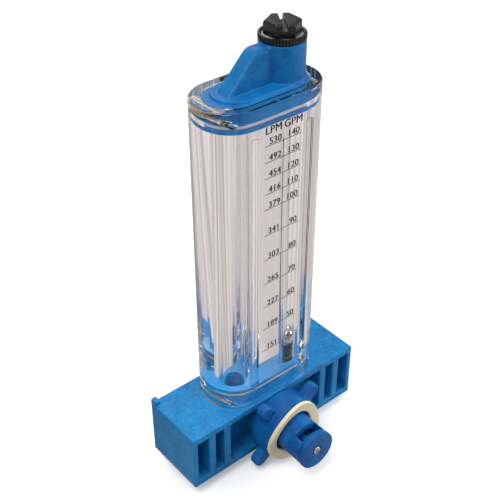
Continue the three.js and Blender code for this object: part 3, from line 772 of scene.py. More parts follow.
def settle(thing):
    """Replaces an object's mesh by what its modifiers make of it."""
    graph = bpy.context.evaluated_depsgraph_get()
    fresh = bpy.data.meshes.new_from_object(thing.evaluated_get(graph))
    old = thing.data
    thing.modifiers.clear()
    thing.data = fresh
    bpy.data.meshes.remove(old)
    return thing


def combine(base, tools, operation):
    """Joins tools to a solid or cuts them from it, and removes them."""
    for tool in tools:
        change = base.modifiers.new("change", "BOOLEAN")
        change.operation = operation
        change.solver = "MANIFOLD"
        change.object = tool
    settle(base)
    for tool in tools:
        bpy.data.objects.remove(tool)
    return base


def join(base, *tools):
    """Joins solids."""
    return combine(base, tools, "UNION")


def cut(base, *tools):
    """Cuts solids away."""
    return combine(base, tools, "DIFFERENCE")


def bevel(thing, width, segments=3, angle=40.0):
    """Rounds the sharp edges of a mesh."""
    change = thing.modifiers.new("edges", "BEVEL")
    change.width = width
    change.segments = segments
    change.limit_method = "ANGLE"
    change.angle_limit = math.radians(angle)
    change.harden_normals = False
    return settle(thing)


def mould(thing, voxel, passes):
    """Gives a solid a fine even skin and softens its edges, as a mould does."""
    skin = thing.modifiers.new("skin", "REMESH")
    skin.mode = "VOXEL"
    skin.voxel_size = voxel
    soft = thing.modifiers.new("soft", "SMOOTH")
    soft.factor = 0.5
    soft.iterations = passes
    return settle(thing)


def smooth(thing, angle=35.0):
    """Shades a mesh smooth between its sharp edges."""
    mesh = thing.data
    mesh.polygons.foreach_set("use_smooth", [True] * len(mesh.polygons))
    mesh.set_sharp_from_angle(angle=math.radians(angle))
    level = thing.modifiers.new("level", "WEIGHTED_NORMAL")
    level.keep_sharp = True
    level.weight = 80
    return settle(thing)


def dress(thing, finish_name, body, *nodes, slot=None, angle=35.0):
    """Finishes a piece: shading, material, the body it rides on and the nodes it stands for."""
    smooth(thing, angle)
    thing.data.materials.clear()
    thing.data.materials.append(finish(finish_name))
    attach(thing, body)
    if nodes:
        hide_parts(*nodes)


# ---------- Base block ----------
def spigot_groove(sizes, low):
    """Cutter for the seal groove round a spigot."""
    high = low + sizes.seal_height
    core = sizes.spigot_radius - sizes.seal_depth
    outer = stadium_post("groove_outer", sizes.spigot_radius + 2 * OVERCUT, low, high)
    return cut(outer, stadium_post("groove_inner", core, low - OVERCUT, high + OVERCUT))


def across(x, z):
    """Lays a piece made about Z along the meter's depth."""
    return Matrix.Translation((x, 0, z)) @ Matrix.Rotation(math.pi / 2, 4, "X")


def pin_hole(node):
    """Cutter for a cross pin's hole, which opens on the face that the pin is nearer to."""
    low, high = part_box(node)
    middle = (low + high) / 2
    side = -1 if middle.y > 0 else 1
    gap = settings().base.gap
    inner_end = (high.y if side < 0 else low.y) - side * gap
    first, last = sorted((-inner_end, -side * (HALF_DEPTH + OVERCUT)))
    hole = rod("hole", settings().body.pin_radius + gap, first, last, 40)
    return move(hole, across(middle.x, middle.z))


def base_block(sizes):
    """Block with strap slots, hub, spigot, ports and nub."""
    top = BODY_LOW.z - sizes.gap
    half, depth = BLOCK_HIGH.x, HALF_DEPTH
    roof = top - sizes.roof
    shell = box("base_block_moulding", (-half, -depth, 0), (half, depth, top))
    outer_edge = half - sizes.end_wall
    inner_edge = outer_edge - sizes.outer_slot - sizes.web
    recess_edge = inner_edge - sizes.inner_slot - sizes.web
    tools = [box("recess", (-recess_edge, -depth - OVERCUT, sizes.floor),
                 (recess_edge, sizes.pocket_depth - depth, roof))]
    for edge, width in ((outer_edge, sizes.outer_slot), (inner_edge, sizes.inner_slot)):
        for side in (-1, 1):
            first, last = sorted((side * edge, side * (edge - width)))
            tools.append(box("slot", (first, -depth - OVERCUT, sizes.floor),
                             (last, depth + OVERCUT, roof)))
    cut(shell, *tools)
    root = 1 * MM
    nub = box("nub", (-half, depth - sizes.nub_depth, top - root),
              (-half + sizes.nub_width, depth, top + sizes.nub_height))
    bevel(join(shell, nub), sizes.edge)
    hub = rod("hub", sizes.hub_radius, 0, depth - CONTACT, 96, 0.4 * MM)
    snug = sizes.gap + CONTACT
    spigot = stadium_post("spigot", sizes.spigot_radius + snug, top - root, BLOCK_HIGH.z + snug, 56)
    pad = stadium_post("pad", depth - sizes.pad_inset, top - root, BODY_LOW.z + CONTACT)
    join(shell, move(hub, ALONG_STEM), spigot, pad)
    bore = settings().stem.radius + sizes.gap
    mouth = 0.4 * MM
    stem_bore = turned("bore", [(0, -depth - OVERCUT), (bore, -depth - OVERCUT), (bore, depth - mouth),
                                (bore + 2 * mouth, depth + mouth), (0, depth + mouth)])
    pocket = rod("pocket", CLIP_HIGH.x + sizes.gap, -depth - OVERCUT, sizes.clip_pocket - depth)
    ports = [shift(rod("port", radius, BLOCK_HIGH.z - sizes.port_depth, BLOCK_HIGH.z + OVERCUT), x)
             for radius, x in ((sizes.port_radius, -BORE_X), (sizes.inlet_radius, BORE_X))]
    return cut(shell, move(stem_bore, ALONG_STEM), move(pocket, ALONG_STEM), *ports,
               spigot_groove(sizes, BLOCK_HIGH.z - sizes.lip - sizes.seal_height),
               pin_hole("lower_left_pin"), pin_hole("lower_right_pin"))


class METER_OT_base(bpy.types.Operator):
    """Build the blue base block"""

    bl_idname = "flow_meter.base"
    bl_label = "Base block"

    def execute(self, context):
        dress(base_block(settings().base), "frosted_blue", "root", "base_block",
              slot="blue_plastic")
        return {"FINISHED"}


# ---------- Clear body ----------
def flute(sizes, side):
    """Cutter for one flute of the front face, with round ends."""
    margin = settings().base.gap + sizes.flute_margin
    low, high = BLOCK_HIGH.z + margin, CAP_LOW.z - margin
    radius = sizes.flute_radius
    profile = arc(radius, -math.pi / 2, 0, 10, (0, low + radius))
    profile += arc(radius, 0, math.pi / 2, 10, (0, high - radius))
    profile[0], profile[-1] = (0, low), (0, high)
    return shift(turned("flute", profile, 48), side * sizes.flute_offset, -HALF_DEPTH)


def meter_body(sizes):
    """Clear stadium-shaped body with two bores, two sockets and two flutes."""
    base = settings().base
    low, high = BODY_LOW.z, BODY_HIGH.z
    shell = stadium("meter_body_acrylic", rim_profile(HALF_DEPTH, low, high, sizes.rim, 7), 72)
    socket = base.spigot_radius + base.gap
    lead = 0.5 * MM
    floor, roof = BLOCK_HIGH.z + base.gap, CAP_LOW.z - base.gap
    lower = stadium("lower_socket", [(socket + 2 * lead, low - lead), (socket, low + lead),
                                     (socket, floor)], 56)
    upper = stadium("upper_socket", [(socket, roof), (socket, high - lead),
                                     (socket + 2 * lead, high + lead)], 56)
    edge = base.spigot_radius + settings().cap.flange_lip + base.gap
    recess = stadium("cap_recess", [(edge, high - sizes.cap_seat), (edge, high - lead / 2),
                                    (edge + lead, high + lead / 2)], 56)
    floor, roof = floor - OVERCUT, roof + OVERCUT
    back = shift(rod("return_bore", sizes.return_radius, floor, roof, 96), -BORE_X)
    foot = BALL_RADIUS + sizes.clearance
    metering = turned("metering_bore", [(0, floor), (foot, floor), (foot + sizes.taper, roof),
                                        (0, roof)])
    return cut(shell, lower, upper, recess, back, shift(metering, BORE_X), flute(sizes, -1),
               flute(sizes, 1), *(pin_hole(node) for node in PINS))


class METER_OT_body(bpy.types.Operator):
    """Build the clear acrylic body"""

    bl_idname = "flow_meter.body"
    bl_label = "Clear body"

    def execute(self, context):
        body = meter_body(settings().body)
        dress(body, "clear_acrylic", "root", "meter_body", angle=30)
        return {"FINISHED"}


class METER_OT_pins(bpy.types.Operator):
    """Build the four brass cross pins"""

    bl_idname = "flow_meter.pins"
    bl_label = "Cross pins"

    def execute(self, context):
        radius = settings().body.pin_radius
        for node in PINS:
            low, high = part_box(node)
            middle = (low + high) / 2
            pin = rod(f"{node}_rod", radius, -high.y, -low.y, 48, 0.3 * MM)
            dress(move(pin, across(middle.x, middle.z)), "brass_pin", "root", node)
        return {"FINISHED"}


def stadium_ring(name, node):
    """A seal of round section that follows a stadium."""
    low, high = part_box(node)
    base = settings().base
    inner = base.spigot_radius - base.seal_depth + base.gap / 2
    mean, half_width = (high.y + inner) / 2, (high.y - inner) / 2
    middle, half_height = (low.z + high.z) / 2, (high.z - low.z) / 2
    layers = [stadium_points(BORE_X, mean + half_width * x, middle + half_height * z, 32)
              for x, z in arc(1, 0, 2 * math.pi, 16)[:-1]]
    return loft(name, layers, closed=True)


class METER_OT_seals(bpy.types.Operator):
    """Build the seals of the spigots, the stem and the plug"""

    bl_idname = "flow_meter.seals"
    bl_label = "Seals"

    def execute(self, context):
        for level in ("lower", "upper"):
            node = f"{level}_spigot_seal"
            dress(stadium_ring(f"{node}_ring", node), "silicone", "root", node, slot="black_rubber")
        section = settings().stem.seal_section
        for word in ("rear", "middle", "front"):
            node = f"{word}_stem_seal"
            low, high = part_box(node)
            reach = (high.x - low.x) / 2
            seal = ring(f"{node}_ring", reach - section, section, -(low.y + high.y) / 2)
            dress(move(seal, ALONG_STEM), "black_rubber", "pitot", node)
        reach = (PLUG_SEAL_HIGH.x - PLUG_SEAL_LOW.x) / 2
        thick = (PLUG_SEAL_HIGH.z - PLUG_SEAL_LOW.z) / 2
        seal = ring("plug_seal_ring", reach - thick, thick, PLUG_SEAL_LOW.z + thick)
        dress(shift(seal, BORE_X), "black_rubber", "plug_lift", "plug_seal")
        return {"FINISHED"}


# ---------- Float, seat and stop ----------
def float_ball():
    """Polished ball float."""
    profile = arc(BALL_RADIUS, -math.pi / 2, math.pi / 2, 48)
    profile[0], profile[-1] = (0, -BALL_RADIUS), (0, BALL_RADIUS)
    ball = turned("float_ball_steel", profile, 72)
    return shift(ball, BORE_X, 0, (BALL_LOW.z + BALL_HIGH.z) / 2)


def float_seat():
    """Turned bush that the ball rests on, with a waist."""
    outer = (SEAT_HIGH.x - SEAT_LOW.x) / 2
    wall, rim, dip, lead = 2 * MM, 2 * MM, 0.7 * MM, 0.8 * MM
    low, high = SEAT_LOW.z, SEAT_HIGH.z
    inner, waist, slope = outer - wall, outer - dip, 0.6 * MM
    corners = [(inner, low), (outer, low), (outer, low + rim), (waist, low + rim + slope),
               (waist, high - rim - slope), (outer, high - rim), (outer, high),
               (inner + lead, high), (inner, high - lead)]
    return shift(turned("float_seat_bush", rounded(corners, 0.25 * MM, closed=True)), BORE_X)


def float_stop():
    """Perforated disc that stops the ball at the top."""
    radius = (STOP_HIGH.x - STOP_LOW.x) / 2
    disc = rod("float_stop_disc", radius, STOP_LOW.z, STOP_HIGH.z, 72, 0.2 * MM)
    hole_radius, wall = 1.4 * MM, 1 * MM
    holes = []
    for x, y, _ in lap(4, radius - wall - hole_radius, 0, math.pi / 4):
        hole = rod("hole", hole_radius, STOP_LOW.z - OVERCUT, STOP_HIGH.z + OVERCUT, 32)
        holes.append(shift(hole, x, y))
    return shift(cut(disc, *holes), BORE_X)


class METER_OT_float(bpy.types.Operator):
    """Build the float ball, its seat and its stop"""

    bl_idname = "flow_meter.float_train"
    bl_label = "Float train"

    def execute(self, context):
        dress(float_ball(), "polished_steel", "float", "float_ball")
        dress(float_seat(), "black_plastic", "root", "float_seat")
        dress(float_stop(), "black_plastic", "root", "float_stop")
        return {"FINISHED"}


# ---------- Top cap ----------
def ramp_rib(sizes, flange_top):
    """Rounded rib over the passage from the boss down to the return bore."""
    foot = -BORE_X - sizes.ramp_overhang
    crest = CAP_HIGH.z - sizes.ramp_drop
    slope = sizes.ramp_angle
    shoulder = foot + (crest - flange_top) / math.tan(slope)
    centre = (shoulder + sizes.shoulder * math.tan(slope / 2), crest - sizes.shoulder)
    depth = 5 * MM
    side = [(foot - depth / math.tan(slope), flange_top - depth), (foot, flange_top)]
    side += arc(sizes.shoulder, math.pi / 2 + slope, math.pi / 2, 8, centre)
    side += [(BORE_X, crest), (BORE_X, flange_top - depth)]
    flat = sizes.ramp_width / 2 - sizes.ramp_round
    middle = Vector((shoulder + depth, flange_top))
    steps = 8
    layers = []
    for step in range(-steps, steps + 1):
        angle = math.pi / 2 * step / steps
        inset = sizes.ramp_round * (1 - math.cos(angle))
        y = (math.copysign(flat, step) if step else 0.0) + sizes.ramp_round * math.sin(angle)
        layers.append([inward(point, middle, inset, y) for point in side])
    return loft("rib", layers)


def inward(point, middle, inset, y):
    """A point of the rib's side view drawn towards its middle, on the plane at y."""
    away = Vector(point) - middle
    drawn = middle + away * max(0.0, 1 - inset / away.length)
    return (drawn.x, y, drawn.y)


def boss(sizes, flange_top):
    """Boss with a fillet at its foot."""
    foot = sizes.boss_radius + sizes.fillet
    fillet = arc(sizes.fillet, -math.pi / 2, -math.pi, 6, (foot, flange_top + sizes.fillet))
    profile = [(0, flange_top - MM), (foot, flange_top - MM), *fillet,
               (sizes.boss_radius, CAP_HIGH.z), (0, CAP_HIGH.z)]
    return shift(turned("boss", profile), BORE_X)


def cap_plate(sizes, low, high):
    """Plate on the flange, which stops short at the rib's end."""
    radius = settings().base.spigot_radius + sizes.flange_lip - sizes.plate_inset
    setback = sizes.plate_setback / 2
    profile = rim_profile(radius, low, high, 0.35 * MM)
    return shift(stadium("plate", profile, half_span=BORE_X - setback), setback)


def top_cap(sizes):
    """Cap with flange, plate, boss, rib and spigot, moulded in one."""
    base = settings().base
    snug = base.gap + CONTACT
    flange_low = BODY_HIGH.z - settings().body.cap_seat - CONTACT
    plate_low = flange_low + snug + sizes.flange_height
    flange_top = plate_low + sizes.plate_height
    flange = base.spigot_radius + sizes.flange_lip + snug
    cap = stadium("top_cap_moulding", rim_profile(flange, flange_low, plate_low, 0.2 * MM))
    sunk, spigot_root, port_depth = 0.5 * MM, 0.8 * MM, 5.5 * MM
    join(cap, cap_plate(sizes, plate_low - sunk, flange_top), boss(sizes, flange_top),
         ramp_rib(sizes, flange_top))
    keep = box("keep", (-40 * MM, -20 * MM, flange_low), (40 * MM, 20 * MM, CAP_HIGH.z + MM))
    combine(cap, [keep], "INTERSECT")
    mould(cap, sizes.voxel, passes=9)
    join(cap, stadium_post("spigot", base.spigot_radius + snug, CAP_LOW.z - snug,
                           flange_low + spigot_root, 56))
    low = CAP_LOW.z - OVERCUT
    bores = [shift(rod("bore", radius, low, high, 96), x) for radius, high, x in (
        (settings().plug.shank_radius + base.gap, CAP_HIGH.z + OVERCUT, BORE_X),
        ((STOP_HIGH.x - STOP_LOW.x) / 2 + base.gap, STOP_HIGH.z + base.gap, BORE_X),
        (base.port_radius, CAP_LOW.z + port_depth, -BORE_X))]
    return cut(cap, *bores, spigot_groove(base, CAP_LOW.z + base.lip), pin_hole("upper_left_pin"),
               pin_hole("upper_right_pin"))


class METER_OT_cap(bpy.types.Operator):
    """Build the blue top cap"""

    bl_idname = "flow_meter.cap"
    bl_label = "Top cap"

    def execute(self, context):
        cap = top_cap(settings().cap)
        dress(cap, "blue_plastic", "root", "top_cap", angle=40)
        return {"FINISHED"}


# ---------- Vent plug, ring and washer ----------
def threaded_shank(sizes, low, high):
    """A shank with a real helical thread, tapering out at both ends."""
    sides, per_turn = 48, 12
    rows = int((high - low) / sizes.pitch * per_turn)
    layers = []
    for row in range(rows + 1):
        height = low + (high - low) * row / rows
        fade = min(1, (height - low) / sizes.pitch, (high - height) / sizes.pitch)

        def radius(turn):
            wave = 0.5 - 0.5 * math.cos(2 * math.pi * ((height / sizes.pitch - turn) % 1))
            return sizes.shank_radius - sizes.thread_depth * (1 - wave * fade)

        layers.append(lap(sides, radius, height))
    return loft("shank", layers)


def hexagon_head(sizes, low, high):
    """Hexagon with a bevelled top, softened edges and a driver slot."""
    corner = sizes.across_flats / math.sqrt(3)
    profile = [(corner, low), (corner, high - sizes.head_bevel), (corner - sizes.head_bevel, high)]
    start = sizes.head_turn + math.pi / 6
    head = loft("vent_plug_moulding", [lap(6, radius, height, start) for radius, height in profile])
    reach = sizes.across_flats
    blade = box("slot", (-reach, -sizes.slot_width / 2, high - sizes.slot_depth),
                (reach, sizes.slot_width / 2, high + OVERCUT))
    cut(head, move(blade, Matrix.Rotation(sizes.slot_turn, 4, "Z")))
    return bevel(head, 0.22 * MM, 2, 25)


def vent_plug(sizes):
    """Plug with a slotted hexagon head and a threaded shank."""
    gap = settings().base.gap
    head_low = WASHER_HIGH.z + gap
    head = hexagon_head(sizes, head_low, PLUG_HIGH.z)
    groove_top = CAP_HIGH.z - sizes.seal_drop
    groove_low = PLUG_SEAL_LOW.z - gap
    seal_reach = (PLUG_SEAL_HIGH.x - PLUG_SEAL_LOW.x) / 2
    neck = seal_reach - (PLUG_SEAL_HIGH.z - PLUG_SEAL_LOW.z) - 0.1 * MM
    foot, top, shank = groove_low - 0.6 * MM, head_low + 0.5 * MM, sizes.shank_radius
    collar = turned("collar", [(0, foot), (shank, foot), (shank, groove_low), (neck, groove_low),
                               (neck, groove_top), (shank, groove_top), (shank, top), (0, top)])
    thread = threaded_shank(sizes, PLUG_LOW.z, groove_low - 0.3 * MM)
    return shift(join(head, collar, thread), BORE_X)


def knurled_ring(sizes):
    """Black ring with rounded knurls and a recess for the washer."""
    outer = (RING_HIGH.x - RING_LOW.x) / 2
    low, high = RING_LOW.z, RING_HIGH.z
    edge = 0.35 * MM
    layers = []
    for inset, height in ((edge, low), (edge * 0.3, low + edge * 0.3), (0, low + edge),
                          (0, high - edge), (edge * 0.3, high - edge * 0.3), (edge, high)):

        def radius(turn):
            wave = 0.5 + 0.5 * math.cos(2 * math.pi * turn * sizes.ribs)
            return outer - sizes.rib_depth * (1 - wave ** 0.6) - inset

        layers.append(lap(sizes.ribs * 10, radius, height))
    made = loft("knurled_ring_moulding", layers)
    gap = settings().base.gap
    bore = rod("bore", sizes.shank_radius + gap, low - OVERCUT, high + OVERCUT, 96)
    wall, floor, lead = sizes.recess_radius, WASHER_LOW.z - gap, 0.25 * MM
    recess = turned("recess", [(0, floor), (wall, floor), (wall, high - lead),
                               (wall + 2 * lead, high + lead), (0, high + lead)])
    return shift(cut(made, bore, recess), BORE_X)


class METER_OT_plug(bpy.types.Operator):
    """Build the vent plug, the knurled ring and the washer"""

    bl_idname = "flow_meter.plug"
    bl_label = "Vent plug"

    def execute(self, context):
        sizes = settings().plug
        dress(vent_plug(sizes), "black_plastic", "plug", "vent_plug", angle=30)
        dress(knurled_ring(sizes), "black_plastic", "plug", "knurled_ring", angle=30)
        inner = sizes.shank_radius + settings().base.gap
        outer = (WASHER_HIGH.x - WASHER_LOW.x) / 2
        disc = washer("plug_washer_disc", inner, outer, WASHER_LOW.z, WASHER_HIGH.z, 0.2 * MM)
        dress(shift(disc, BORE_X), "grey_nylon", "plug_lift", "plug_washer")
        return {"FINISHED"}


# ---------- Pitot stem, made about Z with the pipe's side up ----------
def half_channel(sizes, side, rear, front):
    """Cutter for one of the two half-round channels."""
    bore = rod("channel", sizes.channel, rear, front, 72)
    reach = 2 * sizes.channel
    near, far = sorted((side * sizes.web / 2, side * reach))
    half = box("half", (-reach, near, rear - OVERCUT), (reach, far, front + OVERCUT))
    post = rod("post", sizes.post, rear - OVERCUT, front + OVERCUT, 48)
    return cut(combine(bore, [half], "INTERSECT"), post)


def port_window(sizes, side, front):
    """Cutter for one port in the stem's side."""
    near, far = sorted((side * sizes.web / 2, side * 2 * sizes.radius))
    low = front - sizes.port_length
    window = box("port", (-sizes.port_half, near, low), (sizes.port_half, far, front))
    return cut(window, rod("post", sizes.post, low - OVERCUT, front + OVERCUT, 48))


def ring_groove(sizes, middle, depth, width):
    """Cutter for a groove round the stem."""
    return washer("groove", sizes.radius - depth, sizes.radius + 2 * OVERCUT, middle - width / 2,
                  middle + width / 2)


def pitot_stem(sizes):
    """Stem with a captive shoulder, two channels, two ports and its grooves."""
    front, rear = -STEM_LOW.y, -STEM_HIGH.y
    gap = settings().base.gap
    shoulder_low = HALF_DEPTH + gap
    edge = 0.35 * MM
    stem = rod("pitot_stem_moulding", sizes.radius, rear, front, 128, edge)
    join(stem, rod("shoulder", sizes.shoulder_radius, shoulder_low, shoulder_low + sizes.shoulder,
                   128, edge))
    first = sizes.rotary_setback - HALF_DEPTH
    metering = first + sizes.rotary_pitch
    back = first + 3 * sizes.rotary_pitch
    half_groove = sizes.groove_width / 2
    tools = [half_channel(sizes, side, middle - half_groove, front + OVERCUT)
             for side, middle in ((1, back), (-1, metering))]
    tools += [port_window(sizes, side, front - sizes.port_lip) for side in (1, -1)]
    seal_width = 2 * sizes.seal_section
    grooves = [(middle, sizes.groove_depth, sizes.groove_width) for middle in (metering, back)]
    grooves += [(first + 2 * index * sizes.rotary_pitch, seal_width + gap / 2, seal_width + gap)
                for index in range(3)]
    grooves.append((-(CLIP_LOW.y + CLIP_HIGH.y) / 2, sizes.clip_depth,
                    CLIP_HIGH.y - CLIP_LOW.y + gap))
    tools += [ring_groove(sizes, *groove) for groove in grooves]
    tools.append(rod("screw_hole", sizes.screw_shank + gap / 2, front - sizes.screw_hole,
                     front + OVERCUT, 40))
    cut(stem, *tools)
    bevel(stem, 0.18 * MM, 2, 50)
    return move(stem, ALONG_STEM)


def end_disc(sizes):
    """Disc that closes the stem's channels."""
    back, face = -DISC_HIGH.y, -DISC_LOW.y
    radius = (DISC_HIGH.x - DISC_LOW.x) / 2
    bore = sizes.screw_shank + settings().base.gap
    recess, floor = sizes.screw_head + 0.7 * MM, face - sizes.screw_recess
    corners = [(bore, back), (radius, back), (radius, face), (recess, face), (recess, floor),
               (bore, floor)]
    disc = turned("end_disc_moulding", rounded(corners, sizes.disc_round, closed=True), 128)
    return move(disc, ALONG_STEM)


def end_screw(sizes):
    """Pan head screw with a cross recess and a threaded shank."""
    tip, top = -SCREW_HIGH.y, -SCREW_LOW.y
    rim, crown = 0.25 * MM, 0.95 * MM
    seat = top - crown - rim
    head, neck, root = sizes.screw_head, sizes.screw_shank * 0.9, seat - 0.5 * MM
    profile = [(0, root), (neck, root), (neck, seat), (head * 0.96, seat)]
    profile += [(head * x, seat + rim + crown * z) for x, z in arc(1, 0, math.pi / 2, 8)]
    profile[-1] = (0, top)
    screw = turned("end_screw_steel", profile, 64)
    half, reach, floor = 0.3 * MM, head * 0.62, top - 0.8 * MM
    cut(screw, *(box("blade", (-x, -y, floor), (x, y, top + OVERCUT))
                 for x, y in ((reach, half), (half, reach))))
    rows, pitch, taper, end = 90, 0.8 * MM, 1.2 * MM, seat - 0.2 * MM
    layers = []
    for row in range(rows + 1):
        height = tip + (end - tip) * row / rows
        point = min(1, (height - tip) / taper + 0.35)

        def radius(turn):
            wave = 0.5 + 0.5 * math.cos(2 * math.pi * (height / pitch - turn))
            return sizes.screw_shank * point * (0.8 + 0.2 * wave)

        layers.append(lap(24, radius, height))
    return move(join(screw, loft("thread", layers)), ALONG_STEM)


def retaining_clip(sizes):
    """Open spring ring at the back of the stem."""
    outer = (CLIP_HIGH.x - CLIP_LOW.x) / 2
    low, high = -CLIP_HIGH.y, -CLIP_LOW.y
    made = washer("retaining_clip_steel", outer - sizes.clip_width, outer, low, high, 0.15 * MM)
    reach = outer * 1.2
    half = reach * math.sin(math.radians(25))
    outline = [(0, 0), (half, reach), (-half, reach)]
    wedge = loft("gap", [[(x, y, z) for x, y in outline] for z in (low - OVERCUT, high + OVERCUT)])
    return move(cut(made, wedge), ALONG_STEM)


class METER_OT_stem(bpy.types.Operator):
    """Build the pitot stem, its end disc, its screw and its clip"""

    bl_idname = "flow_meter.stem"
    bl_label = "Pitot stem"

    def execute(self, context):
        sizes = settings().stem
        dress(pitot_stem(sizes), "deep_blue", "pitot", "pitot_stem", slot="blue_plastic", angle=40)
        dress(end_disc(sizes), "deep_blue", "pitot", "stem_end_disc", slot="blue_plastic")
        dress(end_screw(sizes), "polished_steel", "pitot", "end_screw")
        dress(retaining_clip(sizes), "polished_steel", "pitot", "retaining_clip")
        return {"FINISHED"}


# ---------- Saddle collar and gasket ----------
def pipe_axis(sizes):
    """How far out along the stem the pipe's axis lies."""
    return HALF_DEPTH + settings().base.gap + sizes.crest + sizes.saddle


def pipe_surface(sizes, x, y, radius):
    """How far out along the stem a pipe's surface lies over a point."""
    aside = -x * math.sin(sizes.turn) + y * math.cos(sizes.turn)
    return pipe_axis(sizes) - math.sqrt(radius ** 2 - aside ** 2)


def pipe_rod(sizes):
    """Cutter in the shape of the pipe."""
    lay = Matrix.Translation((0, 0, pipe_axis(sizes))) @ Matrix.Rotation(sizes.turn, 4, "Z")
    pipe = rod("pipe", sizes.saddle, -60 * MM, 60 * MM, 360)
    return move(pipe, lay @ Matrix.Rotation(math.pi / 2, 4, "Y"))


def collar_lug(sizes, index):
    """One round-tipped lug."""
    low = HALF_DEPTH + settings().base.gap + sizes.lug_setback
    high = low + sizes.lug_thickness
    half, edge = sizes.lug_width / 2, 0.5 * MM
    tip, root = sizes.lug_tip - half, sizes.radius - sizes.lug_width
    layers = []
    for inset, height in ((edge, low), (0, low + edge), (0, high - edge), (edge, high)):
        points = stadium_points((tip - root) / 2, half - inset, height, 16)
        layers.append([(x + (tip + root) / 2, y, z) for x, y, z in points])
    turn = sizes.turn + index * 2 * math.pi / sizes.lugs
    return move(loft("lug", layers), Matrix.Rotation(turn, 4, "Z"))


def saddle_collar(sizes):
    """Winged collar with a saddle-shaped front."""
    gap, stem = settings().base.gap, settings().stem
    back = HALF_DEPTH + gap
    front = back + sizes.crest + 0.5 * sizes.radius
    collar = rod("saddle_collar_moulding", sizes.radius, back, front, 128)
    join(collar, *(collar_lug(sizes, index) for index in range(sizes.lugs)))
    bore = rod("bore", stem.radius + gap, back - OVERCUT, front + OVERCUT, 96)
    recess = rod("recess", stem.shoulder_radius + gap, back - OVERCUT,
                 back + stem.shoulder + gap, 96)
    cut(collar, bore, recess, pipe_rod(sizes))
    mould(collar, voxel=0.28 * MM, passes=5)
    return move(collar, ALONG_STEM)


def saddle_gasket(sizes):
    """Rubber ring that follows the saddle, with rounded edges."""
    gap = settings().base.gap
    inner = sizes.gasket_bore
    width = sizes.radius - gap - inner
    corners = [(0, 0), (width, 0), (width, sizes.gasket), (0, sizes.gasket)]
    section = rounded(corners, 0.45 * MM, 4, closed=True)[:-1]
    layers = []
    for along_x, along_y, _ in lap(160, 1, 0):
        layer = []
        for offset, height in section:
            x, y = (inner + offset) * along_x, (inner + offset) * along_y
            layer.append((x, y, pipe_surface(sizes, x, y, sizes.saddle - gap) + height))
        layers.append(layer)
    return move(loft("saddle_gasket_rubber", layers, closed=True), ALONG_STEM)


class METER_OT_collar(bpy.types.Operator):
    """Build the saddle collar and its gasket"""

    bl_idname = "flow_meter.collar"
    bl_label = "Saddle collar"

    def execute(self, context):
        sizes = settings().collar
        dress(saddle_collar(sizes), "deep_blue", "collar", "saddle_collar", slot="blue_plastic",
              angle=50)
        dress(saddle_gasket(sizes), "cream_rubber", "collar", "saddle_gasket")
        return {"FINISHED"}


# ---------- Printed scale ----------
def printed_text(words, size, x, z, align):
    """Figures or a unit on the front face, printed thrice side by side for bold strokes."""
    scale = settings().scale
    curve = bpy.data.curves.new("words", "FONT")
    curve.body = words
    curve.size = size / FIGURE_SHARE
    curve.align_x = align
    curve.space_character = 1.05
    curve.extrude = scale.ink / 2
    curve.resolution_u = 3
    holder = hold("words", curve)
    bpy.context.view_layer.update()
    graph = bpy.context.evaluated_depsgraph_get()
    outline = bpy.data.meshes.new_from_object(holder.evaluated_get(graph))
    bpy.data.objects.remove(holder)
    bpy.data.curves.remove(curve)
    face = -HALF_DEPTH - scale.ink / 2 - PRINT_LIFT
    words_mesh = bmesh.new()
    for step in (-1, 0, 1):
        copy = outline.copy()
        spot = Matrix.Translation((x + step * scale.bold, face, z))
        copy.transform(spot @ Matrix.Rotation(math.pi / 2, 4, "X"))
        words_mesh.from_mesh(copy)
        bpy.data.meshes.remove(copy)
    bpy.data.meshes.remove(outline)
    return make("words", words_mesh)


def printed_line(x0, x1, z0, z1):
    """A printed stroke on the front face."""
    near = -HALF_DEPTH - PRINT_LIFT
    return box("stroke", (x0, near - settings().scale.ink, z0), (x1, near, z1))


def scale_level(sizes, gallons):
    """Height of a tick; the ticks stand closer above 100 gallons a minute."""
    return sizes.level_100 + (gallons - 100) / 10 * (
        sizes.upper_step if gallons > 100 else sizes.lower_step)


def scale_print(sizes):
    """Flow scale in gallons and litres a minute, with ticks and a centre line."""
    strokes = []
    half, lift = sizes.line / 2, 0.5 * MM
    for gallons in range(FIRST_FLOW, LAST_FLOW + 1, 10):
        level = scale_level(sizes, gallons)
        strokes.append(printed_line(-sizes.reach, sizes.reach, level - half, level + half))
        for figure, x in ((round(gallons * LITRES), -1.0 * MM), (gallons, 8.6 * MM)):
            strokes.append(printed_text(str(figure), sizes.digit, x, level + lift, "RIGHT"))
    top = scale_level(sizes, LAST_FLOW)
    strokes.append(printed_line(-half, half, scale_level(sizes, FIRST_FLOW), top + MM))
    head = top + sizes.digit + 2.2 * MM
    for unit, x in (("LPM", -5.2 * MM), ("GPM", 5.2 * MM)):
        strokes.append(printed_text(unit, sizes.digit * 1.15, x, head, "CENTER"))
    gather = bmesh.new()
    for stroke in strokes:
        gather.from_mesh(stroke.data)
        bpy.data.objects.remove(stroke)
    return make("scale_print", gather)


class METER_OT_scale(bpy.types.Operator):
    """Print the flow scale"""

    bl_idname = "flow_meter.scale_print"
    bl_label = "Scale"

    def execute(self, context):
        dress(scale_print(settings().scale), "scale_ink", "root", slot="black_plastic")
        return {"FINISHED"}


# ---------- Stage ----------
def floor_sheet(level):
    """A wide level floor."""
    half = 6.0
    thing = box("floor", (-half, -half, level - MM), (half, half, level))
    thing.data.materials.append(finish("pale_floor"))
    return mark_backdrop(thing)


